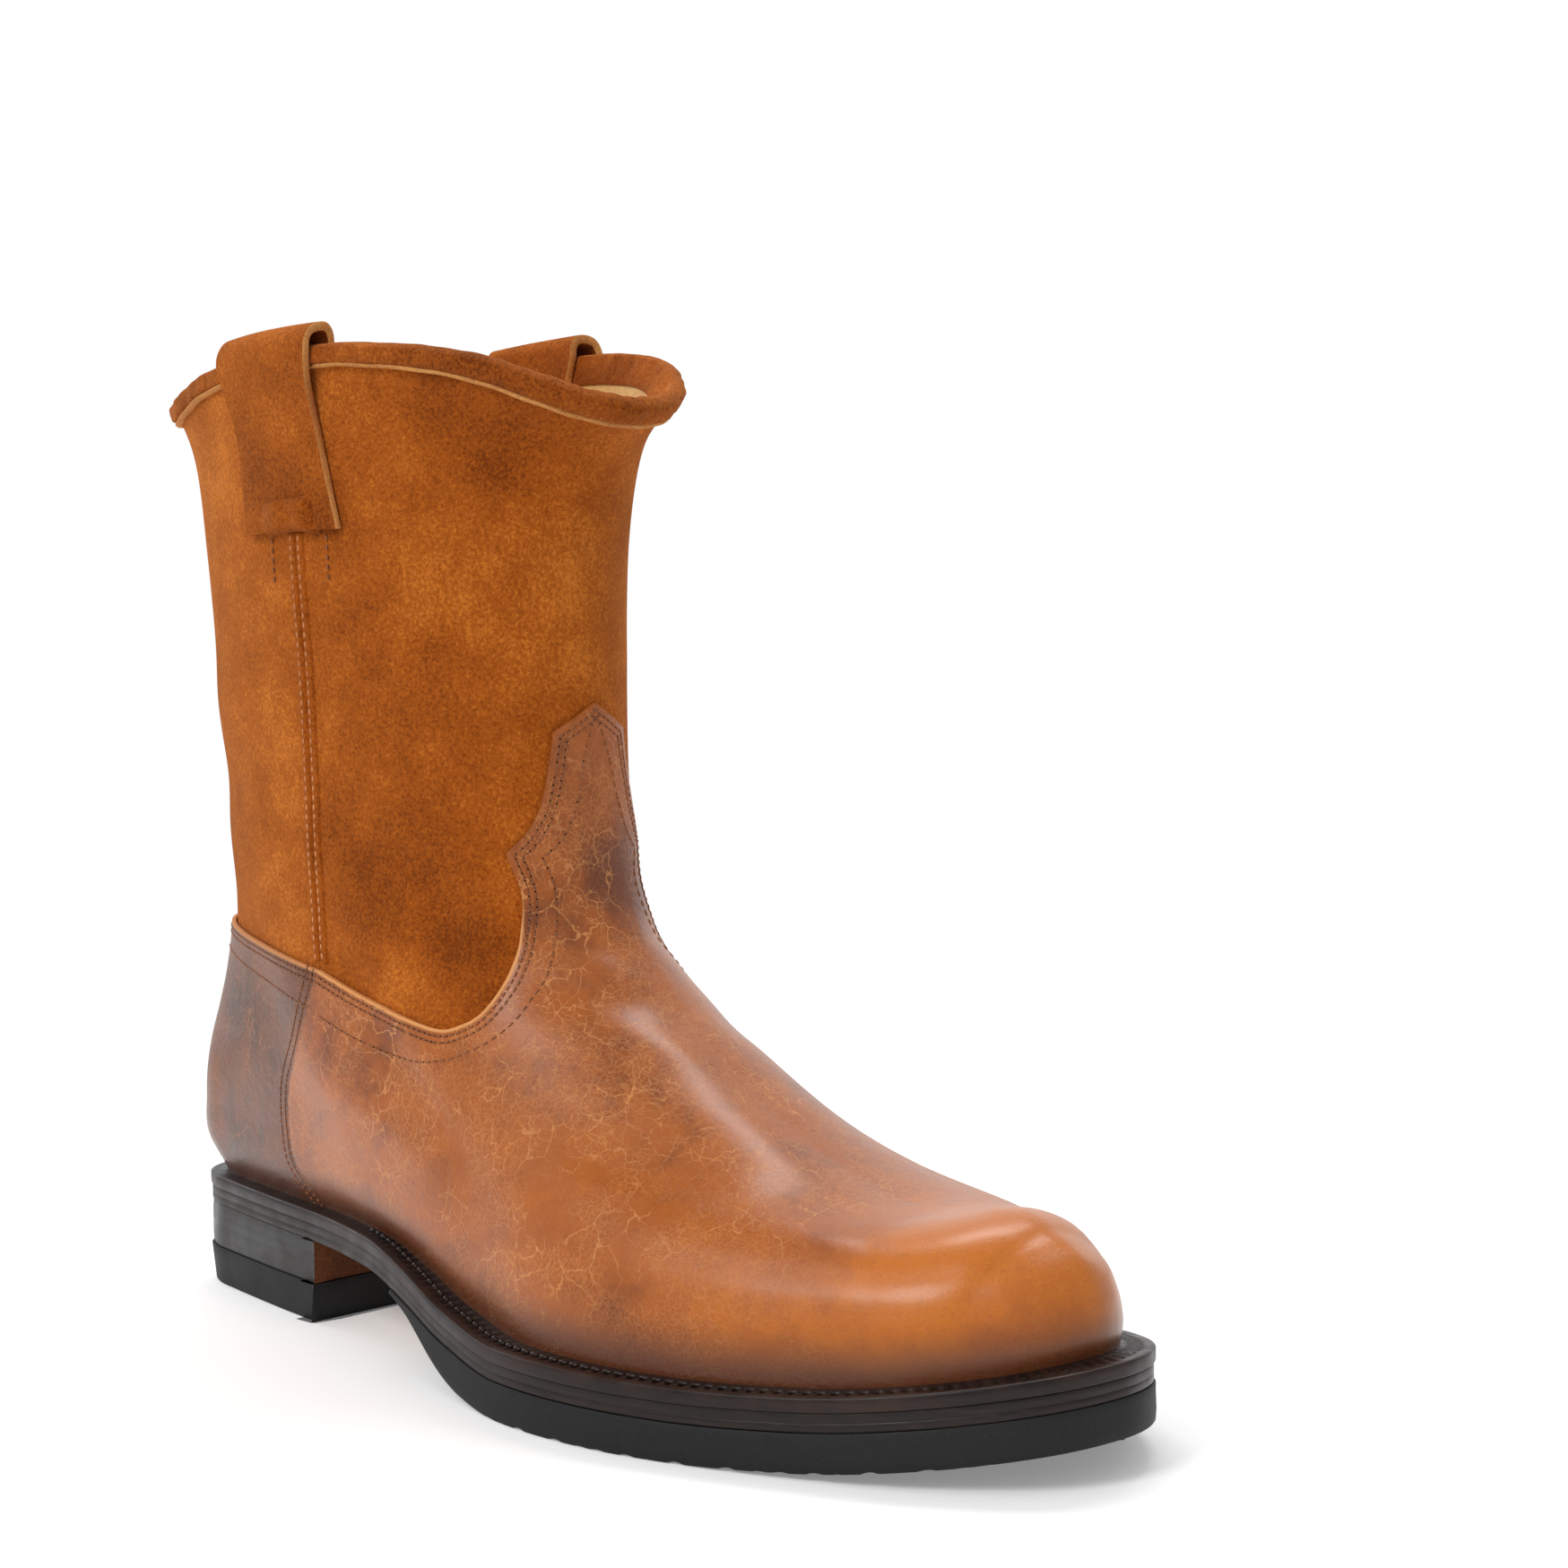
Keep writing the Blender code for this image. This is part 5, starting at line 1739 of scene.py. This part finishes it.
@dataclass
class Stitching:
    """Every seam's thread, and dark discs of painted shade at the needle holes."""

    finishes: Finishes
    foot: FootLeather
    close_pitch: float = 0.0019
    wide_pitch: float = 0.0026
    thread: float = 0.00052
    thread_lift: float = 0.00002
    stitch_share: float = 0.72
    # millimetres to the left of each line
    top_rows: tuple = (1.7, 3.4)
    counter_rows: tuple = (-1.7, -3.4)
    seam_rows: tuple = (1.6, 4.2)
    shaft_rows: tuple = (-1.4, 1.4)
    # length, breadth and height of each dark disc painted as a needle hole's shade
    hole: tuple = (0.00062, 0.00062, 0.00012)
    # the short rows below the strap: their u, and t from and to
    foot_columns: tuple = (0.512, 0.416)
    foot_span: tuple = (11.66, 12.02)
    # how far out, pitch, length and thickness
    foot_stitch: tuple = (0.0004, 0.0021, 0.0015, 0.0007)
    shaft_stitch: tuple = (0.0008, 0.0024, 0.0016, 0.0006)

    def lines(self) -> list[tuple[Array, float]]:
        """The rows on the foot's leather, on the inner side, with their pitch."""
        sewn = (
            (self.foot.top_line(), self.top_rows),
            (line_through(PATTERNS.counter_top), self.counter_rows),
            (line_through(PATTERNS.foot_seam), self.seam_rows),
        )
        rows = [(moved_in(line, by), self.close_pitch) for line, moves in sewn for by in moves]
        inner = (PATTERNS.inner_row_low, PATTERNS.inner_row_high, PATTERNS.counter_row)
        return rows + [(line_through(row), self.wide_pitch) for row in inner]

    def pierce(self, holes: Threads, line: Array, off: float, pitch: float) -> None:
        """Adds a small dark disc between each two stitches, painted shade for the needle hole.

        Args:
            holes: The piece that gathers them.
            line: The row's places.
            off: How far outside the shaft's leather.
            pitch: Metres from stitch to stitch.
        """
        points = SKIN.at(line[:, 0], line[:, 1], LAST.base_off(line[:, 1]) + off)
        index = spaced(points, pitch)
        halfway = np.clip(index + 0.5 * (index[1] - index[0]), 0, len(points) - 1)
        way = between(np.gradient(points, axis=0), index)
        up = between(LAST.normals(line[:, 0], line[:, 1]), index)
        holes.add(between(points, halfway), way, up, self.hole)

    def build(self) -> None:
        """Builds the foot's and the shaft's stitches and the dark discs of painted shade at the needle
        holes.
        """
        names = ("foot_stitches", "needle_hole_shades", "shaft_stitches")
        thread, holes, shaft = (Threads(name) for name in names)
        off = LAST.gap + LAST.overlay
        rows = self.lines()
        seam = line_through(PATTERNS.side_seam)
        low, high = self.foot_span
        for side in Side:
            for row, pitch in rows:
                line = mirrored(row, side)
                thread.on_skin(line, off + self.thread_lift, pitch, pitch * self.stitch_share, self.thread)
                self.pierce(holes, line, off, pitch)
            for u in self.foot_columns:
                line = np.c_[np.full(24, u), np.linspace(low, high, 24)]
                thread.on_skin(mirrored(line, side), *self.foot_stitch)
            for by in self.shaft_rows:
                shaft.on_skin(mirrored(moved_in(seam, by), side), *self.shaft_stitch)
        thread.hand_over(self.finishes.thread, "waxed_leather")
        holes.hand_over(self.finishes.hole, "edge_leather")
        shaft.hand_over(self.finishes.shaft_thread, "suede")


# The sole


class Plan:
    """The sole's outline, moved in by a set amount, as matched outer and inner places."""

    def __init__(self, by: Array | float, count: int, start: float = -1.0, end: float = 1.0) -> None:
        """Reads the outline at stations from back to front.

        Args:
            by: How far inside the sole's edge.
            count: How many stations.
            start: The rearmost x, or below 0 for the whole length.
            end: The foremost x, or 1 for the whole length.
        """
        sides = Sides(inset(LAST.edge, by))
        whole_back, whole_front = start < sides.start, end > sides.end
        start, end = max(start, sides.start), min(end, sides.end)
        share = np.linspace(0.0, 1.0, count + 1)
        if whole_back and whole_front:
            share = (1.0 - np.cos(np.pi * share)) / 2.0
        elif whole_back:
            share = 1.0 - np.cos(np.pi / 2 * share)
        elif whole_front:
            share = np.sin(np.pi / 2 * share)
        xs = start + (end - start) * share
        outer, inner = (np.c_[xs, sides.y(side, xs)] for side in Side)
        middle = (outer[:, 1] + inner[:, 1]) / 2.0
        if whole_back:
            outer[0, 1] = inner[0, 1] = middle[0]
        if whole_front:
            outer[-1, 1] = inner[-1, 1] = middle[-1]
        self.loop = np.vstack([outer, inner[::-1]])
        self.spine = np.r_[middle, middle[::-1]]
        along = np.gradient(self.loop, axis=0)
        along[np.hypot(*along.T) < 1e-9] = (0.0, 1.0)
        along /= np.hypot(*along.T)[:, None]
        self.inward = np.c_[-along[:, 1], along[:, 0]]
        if whole_back:
            self.inward[0] = self.inward[-1] = (1.0, 0.0)
        if whole_front:
            self.inward[count] = self.inward[count + 1] = (-1.0, 0.0)
        self.length = np.r_[0.0, np.cumsum(np.hypot(*np.diff(self.loop, axis=0).T))]


def level(height: float) -> Height:
    """The same height at every x."""
    return lambda x: np.full_like(x, height)


def shifted(height: Height, by: float = -0.0001) -> Height:
    """A height moved up by so much, or down by a fine gap."""
    return lambda x: height(x) + by


def plate(
    name: str,
    plan: Plan,
    section: Sequence[tuple[float, float, float, float]],
    low: Height,
    high: Height,
    shape: Callable[[Array, Array, Array], Array] | None = None,
) -> bpy.types.Object:
    """A plate of the sole, lofted round its outline.

    Args:
        name: The piece's name.
        plan: Its outline.
        section: Rows of inset, share of the way to the middle line, share of the height from
            low to high, and a drop; inset and drop in millimetres.
        low: The underside's height at x.
        high: The top's height at x.
        shape: Adds a height in metres for length along the edge, section row and x.

    Returns:
        The new piece.
    """
    rows = np.array(section, float)
    columns = len(plan.loop) - 1

    def place(across: Array, up: Array) -> Array:
        """Points round the outline and along the section."""
        i = np.round(across * columns).astype(int)
        j = np.round(up * (len(rows) - 1)).astype(int)
        inward, to_middle, tall, drop = rows[j].T
        flat = plan.loop[i] + plan.inward[i] * (inward * MM)[:, None]
        x = plan.loop[i, 0]
        flat = flat + (np.c_[x, plan.spine[i]] - flat) * to_middle[:, None]
        z = low(x) + (high(x) - low(x)) * tall - drop * MM
        if shape:
            z = z + shape(plan.length[i], j, x)
        return np.c_[flat[:, 0] - LAST.heel_middle, flat[:, 1], z]

    piece = sheet(name, columns, len(rows) - 1, place)
    fill_holes(piece)
    face_out(piece)
    return piece


def second_finish(piece: bpy.types.Object, way: tuple[float, float, float]) -> None:
    """Gives the faces that look this way the piece's second finish."""
    least = 0.8
    for face in piece.data.polygons:
        if face.normal.dot(way) > least:
            face.material_index = 1


# A plate's section starts and ends on its middle line: underneath, and on top
UNDER_MIDDLE = (0.0, 1.0, 0.0, 0.0)
TOP_MIDDLE = (0.0, 1.0, 1.0, 0.0)


@dataclass
class Sole:
    """Welt, leather sole, rubber half sole, stacked heel, heel cap and insole."""

    finishes: Finishes
    stations: int = 380
    footbed_stations: int = 200
    welt_thickness: float = 0.0034
    leather_thickness: float = 0.0079
    leather_inset: float = 0.0004
    rubber_start: float = 0.1165
    rubber_ramp: float = 0.040
    rubber_edge: float = 0.0012
    cap_thickness: float = 0.0104
    breast: float = 0.0701
    heel_layers: int = 4
    layer_line: float = 0.04
    insole_thickness: float = 0.0030
    insole_depth: float = 0.0020
    insole_gap: float = 0.0004
    stitch_pitch: float = 0.0034
    stitch_inset: float = 0.0046
    stitch_lift: float = 0.00005
    stitch_thickness: float = 0.0014
    ridge_height: float = 0.00060
    ridge_sink: float = 0.00050
    # x where the ridges start, where the stitches start, and where the ridges are full
    stitched_from: tuple = (0.085, 0.095, 0.115)
    # scallops of the tread: height, their two pitches, and where they start and end
    scallop: float = 0.00045
    scallop_pitches: tuple = (0.0085, 0.031)
    scallop_span: tuple = (0.165, 0.305)
    # insets of the welt's top and how far the ridges show there; all on its top face
    welt_top_rows: tuple = (
        (11.0, 0.0), (8.0, 0.0), (6.6, 0.3), (5.6, 1.0), (5.0, 1.0), (4.4, 1.0),
        (3.8, 1.0), (3.2, 0.9), (2.6, 0.4), (2.0, 0.0), (1.4, 0.0), (0.8, 0.0),
    )
    # sections as plate reads them: inset, share to the middle line, share of height, drop
    welt_edge: tuple = (
        (0.40, 0, 1, 0.06), (0.15, 0, 1, 0.22), (0.0, 0, 1, 0.5), (0.0, 0, 0.5, 0.0),
        (0.0, 0, 0, -0.35), (0.2, 0, 0, 0.0), (11.0, 0, 0, 0.0), (11.0, 0, 1, 0.0),
    )
    leather_section: tuple = (
        UNDER_MIDDLE, (6, 0, 0, 0), (0.5, 0, 0, 0), (0.12, 0, 0, -0.12), (0, 0, 0, -0.4),
        (0, 0, 0.42, 0), (0.13, 0, 0.46, 0), (0, 0, 0.50, 0), (0, 0, 1, 0.4),
        (0.12, 0, 1, 0.12), (0.5, 0, 1, 0), (6, 0, 1, 0), TOP_MIDDLE,
    )
    rubber_section: tuple = (
        UNDER_MIDDLE, (12, 0, 0, 0), (3, 0, 0, 0), (1, 0, 0, 0), (0.35, 0, 0, -0.12), (0, 0, 0, -0.6),
        (-0.15, 0, 0.3, 0), (0, 0, 0.8, 0), (0, 0, 1, 0.35), (0.25, 0, 1, 0), (6, 0, 1, 0), TOP_MIDDLE,
    )
    # how far the scallops lift each row of the rubber's section
    rubber_lift: tuple = (0, 0, 0.6, 1, 1, 0.8, 0, 0, 0, 0, 0, 0)
    cap_section: tuple = (
        UNDER_MIDDLE, (8, 0, 0, 0), (1.5, 0, 0, 0), (1.15, 0, 0, -0.15), (1, 0, 0, -0.6),
        (0.3, 0, 0.7, 0), (0, 0, 1, 0.3), (0.2, 0, 1, 0), (6, 0, 1, 0), TOP_MIDDLE,
    )
    insole_section: tuple = (
        UNDER_MIDDLE, (3, 0, 0, 0), (0, 0, 0, 0), (0, 0, 0.6, 0), (0.3, 0, 0.9, 0),
        (1, 0, 1, 0), (4, 0, 1, 0), TOP_MIDDLE,
    )

    def welt_low(self, x: Array) -> Array:
        """The welt's underside."""
        return LAST.welt_top(x) - self.welt_thickness

    def leather_low(self, x: Array) -> Array:
        """The leather sole's underside."""
        return LAST.welt_top(x) - self.leather_thickness

    def rubber_low(self, x: Array) -> Array:
        """The half sole's underside: level under the ball, lifted at the toe."""
        low = np.maximum(LAST.welt_top(x) - LAST.forefoot_thickness, 0.0)
        ramp = eased((x - self.rubber_start) / self.rubber_ramp)
        high = self.leather_low(x) - LAST.gap - self.rubber_edge
        return high * (1.0 - ramp) + low * ramp

    def welt(self) -> None:
        """The welt, with ridges pressed across its stitched band."""
        section = [(by, 0, 1, 0.0) for by, _ in self.welt_top_rows] + list(self.welt_edge)
        ridge = np.array([share for _, share in self.welt_top_rows] + [0.0] * len(self.welt_edge))
        start, _, end = self.stitched_from

        def shape(length: Array, row: Array, x: Array) -> Array:
            """Ridges across the welt, only where it is stitched."""
            wave = 0.5 + 0.5 * np.cos(length / self.stitch_pitch * 2.0 * np.pi)
            stitched = eased((x - start) / (end - start))
            return stitched * ridge[row] * (self.ridge_height * wave - self.ridge_sink)

        plan = Plan(0.0, self.stations * 2)
        piece = plate("welt_strip", plan, section, self.welt_low, LAST.welt_top, shape)
        hand_over(piece, 50.0, [self.finishes.welt], "welt_leather", "welt")

    def welt_stitches(self) -> None:
        """The thread lying along the welt."""
        loop = Plan(self.stitch_inset, self.stations).loop
        top = LAST.welt_top(loop[:, 0]) + self.stitch_lift
        points = np.c_[loop[:, 0] - LAST.heel_middle, loop[:, 1], top]
        thread = Threads("welt_stitches")
        for part in np.split(points, 2):
            part = part[part[:, 0] > self.stitched_from[1] - LAST.heel_middle]
            up = np.tile((0.0, 0.0, 1.0), (len(part), 1))
            thread.row(part, up, self.stitch_pitch, self.stitch_pitch * 0.92, self.stitch_thickness)
        thread.hand_over(self.finishes.welt, "welt_leather")

    def leather(self) -> None:
        """The leather sole: two layers with a fine line between them."""
        plan = Plan(self.leather_inset, self.stations)
        piece = plate("leather_sole", plan, self.leather_section, self.leather_low, shifted(self.welt_low))
        finishes = [self.finishes.edge, self.finishes.underside]
        hand_over(piece, 40.0, finishes, "edge_leather", "outsole_leather")
        second_finish(piece, (0.0, 0.0, -1.0))

    def rubber(self) -> None:
        """The rubber half sole, with a lightly scalloped lower edge."""
        lift = np.array(self.rubber_lift)
        short, long = self.scallop_pitches
        start, end = self.scallop_span

        def shape(length: Array, row: Array, x: Array) -> Array:
            """Shallow scallops where the tread meets the edge."""
            wave = np.sin(length / short * 2 * np.pi) * np.sin(length / long * 2 * np.pi)
            on = eased((x - start) / 0.02) * eased((end - x) / 0.03)
            return lift[row] * on * self.scallop * np.maximum(wave, 0.0)

        plan = Plan(0.0, self.stations, start=self.rubber_start)
        top = shifted(self.leather_low)
        piece = plate("rubber_half_sole", plan, self.rubber_section, self.rubber_low, top, shape)
        hand_over(piece, 40.0, [self.finishes.rubber], "rubber", "forefoot_rubber")

    def heel(self) -> None:
        """The stacked heel and its rubber cap."""
        section = [UNDER_MIDDLE, (6, 0, 0, 0), (0.25, 0, 0, 0)]
        for k in range(1, self.heel_layers):
            share, line = k / self.heel_layers, self.layer_line
            section += [(0, 0, share - line, 0), (0.06, 0, share, 0), (0, 0, share + line, 0)]
        section += [(0.25, 0, 1, 0), (6, 0, 1, 0), TOP_MIDDLE]
        plan = Plan(self.leather_inset, self.stations // 2, end=self.breast)
        low = level(self.cap_thickness + 0.0001)
        stack = plate("stacked_heel", plan, section, low, shifted(self.leather_low))
        hand_over(stack, 40.0, [self.finishes.stack, self.finishes.breast], "stack_leather", "heel_stack")
        second_finish(stack, (1.0, 0.0, 0.0))
        plan = Plan(0.0, self.stations // 2, end=self.breast)
        cap = plate("heel_top_piece", plan, self.cap_section, level(0.0), level(self.cap_thickness))
        hand_over(cap, 40.0, [self.finishes.rubber], "rubber", "heel_cap")

    def insole(self) -> None:
        """The footbed, with a softened edge."""
        by = LAST.ledges + LAST.gap + LAST.overlay + LAST.wall + self.insole_gap
        low = shifted(LAST.welt_top, -self.insole_depth)
        top = shifted(LAST.welt_top, LAST.gap + self.insole_thickness)
        piece = plate("footbed", Plan(by, self.footbed_stations), self.insole_section, low, top)
        hand_over(piece, 50.0, [self.finishes.lining], "lining_leather", "insole")

    def build(self) -> None:
        """Builds the sole from the welt down."""
        self.welt()
        self.welt_stitches()
        self.leather()
        self.rubber()
        self.heel()
        self.insole()


# The studio


@dataclass(frozen=True)
class SoftBox:
    """A soft light that faces the boot, in metres and in brightness against white."""

    name: str
    place: tuple
    size: tuple
    brightness: float


SOFT_BOXES = (
    SoftBox("top_back", (-0.16, 0.30, 1.05), (0.85, 0.26), 8.0),
    SoftBox("key_left", (0.20, -1.20, 1.05), (0.50, 0.60), 10.0),
    SoftBox("rim_left", (-0.95, -0.10, 0.45), (0.3, 0.9), 1.6),
    SoftBox("sweep", (-1.05, 1.10, 0.70), (3.2, 1.4), 0.45),
)


@dataclass
class Studio:
    """A pale floor, a white room, soft lights and the camera."""

    # how bright the room is as light, against the white that the camera sees
    room: float = 0.55
    aim: tuple = (0.10, 0.0, 0.10)
    floor_radius: float = 14.0
    floor_middle: tuple = (0.12, 0.0, 0.0)
    floor_white: tuple = (0.93, 0.93, 0.93, 1.0)
    near_floor: float = 0.30
    far_floor: float = 0.60
    floor_lift: float = 0.22
    focal: float = 74.55
    clip: tuple = (0.02, 60.0)
    azimuth: float = -44.66
    elevation: float = 4.62
    roll: float = -0.34
    distance: float = 0.799
    target: tuple = (0.155, 0.0, 0.120)
    shift: tuple = (-0.04018, -0.02346)

    def camera(self) -> None:
        """Places the camera at the photograph's angle to the boot."""
        az, el, roll = (math.radians(v) for v in (self.azimuth, self.elevation, self.roll))
        way = Vector((math.sin(az) * math.cos(el), math.cos(az) * math.cos(el), -math.sin(el)))
        right = Vector((math.cos(az), -math.sin(az), 0.0))
        up = right.cross(way)
        side = right * math.cos(roll) + up * math.sin(roll)
        top = up * math.cos(roll) - right * math.sin(roll)
        place = Vector(self.target) - way * self.distance - side * self.shift[0] - top * self.shift[1]
        place.x -= LAST.heel_middle
        data = bpy.data.cameras.new("camera")
        data.sensor_width = 36.0
        data.lens = self.focal
        data.clip_start, data.clip_end = self.clip
        camera = bpy.data.objects.new("camera", data)
        turn = Matrix((side, top, -way)).transposed().to_4x4()
        camera.matrix_world = Matrix.Translation(place) @ turn
        bpy.context.scene.collection.objects.link(camera)
        bpy.context.scene.camera = camera

    def light(self, box: SoftBox) -> None:
        """Adds a soft box, unseen by the camera itself."""
        data = bpy.data.lights.new(box.name, "AREA")
        data.shape = "RECTANGLE"
        data.size, data.size_y = box.size
        data.energy = box.brightness * math.pi * box.size[0] * box.size[1]
        lamp = bpy.data.objects.new(box.name, data)
        lamp.location = box.place
        way = Vector(self.aim) - Vector(box.place)
        lamp.rotation_euler = way.to_track_quat("-Z", "Y").to_euler()
        lamp.visible_camera = False
        bpy.context.scene.collection.objects.link(lamp)

    def seen_share(self, graph: Graph) -> Socket:
        """1 for what the camera sees, the room's own brightness for what lights the boot."""
        return graph.total(self.room, (graph.add("LightPath").outputs["Is Camera Ray"], 1.0 - self.room))

    def floor(self) -> None:
        """A wide pale floor that turns to plain white away from the boot."""
        start_clean()
        bpy.ops.mesh.primitive_circle_add(vertices=96, radius=self.floor_radius, fill_type="NGON")
        floor = bpy.context.active_object
        floor.name = floor.data.name = "floor"
        made, graph, shader, where = new_material("pale_floor")
        off = graph.vector("SUBTRACT", i0=where, i1=self.floor_middle)
        away = graph.vector("LENGTH", i0=off.outputs[0]).outputs["Value"]
        far = graph.step(away, self.near_floor, self.far_floor)
        lifted = graph.total(self.floor_lift, (far, 1.0 - self.floor_lift))
        glow = graph.math("MULTIPLY", lifted, self.seen_share(graph))
        graph.feed(
            shader,
            Base_Color=graph.mix(far, self.floor_white, (0.0, 0.0, 0.0, 1.0)),
            Emission_Color=graph.add("CombineColor", None, i0=glow, i1=glow, i2=glow).outputs[0],
            Emission_Strength=1.0,
            Roughness=0.9,
            Specular_IOR_Level=0.0,
        )
        floor.data.materials.append(made)

    def build(self) -> None:
        """Builds the studio."""
        world = bpy.data.worlds.new("room")
        bpy.context.scene.world = world
        world.use_nodes = True
        graph = Graph(world.node_tree)
        back = world.node_tree.nodes["Background"]
        graph.feed(back, Color=(1.0, 1.0, 1.0, 1.0), Strength=self.seen_share(graph))
        bpy.context.scene.view_settings.view_transform = "Standard"
        self.floor()
        for box in SOFT_BOXES:
            self.light(box)
        self.camera()


def main() -> None:
    """Builds the boot and the studio in order."""
    logging.basicConfig(level=logging.INFO, format="%(name)s: %(message)s")
    finishes = Finishes()
    foot = FootLeather(finishes)
    Sole(finishes).build()
    Shaft(finishes).build()
    foot.build()
    PullStraps(finishes).build()
    Stitching(finishes, foot).build()
    Studio().build()


if __name__ == "__main__":
    main()
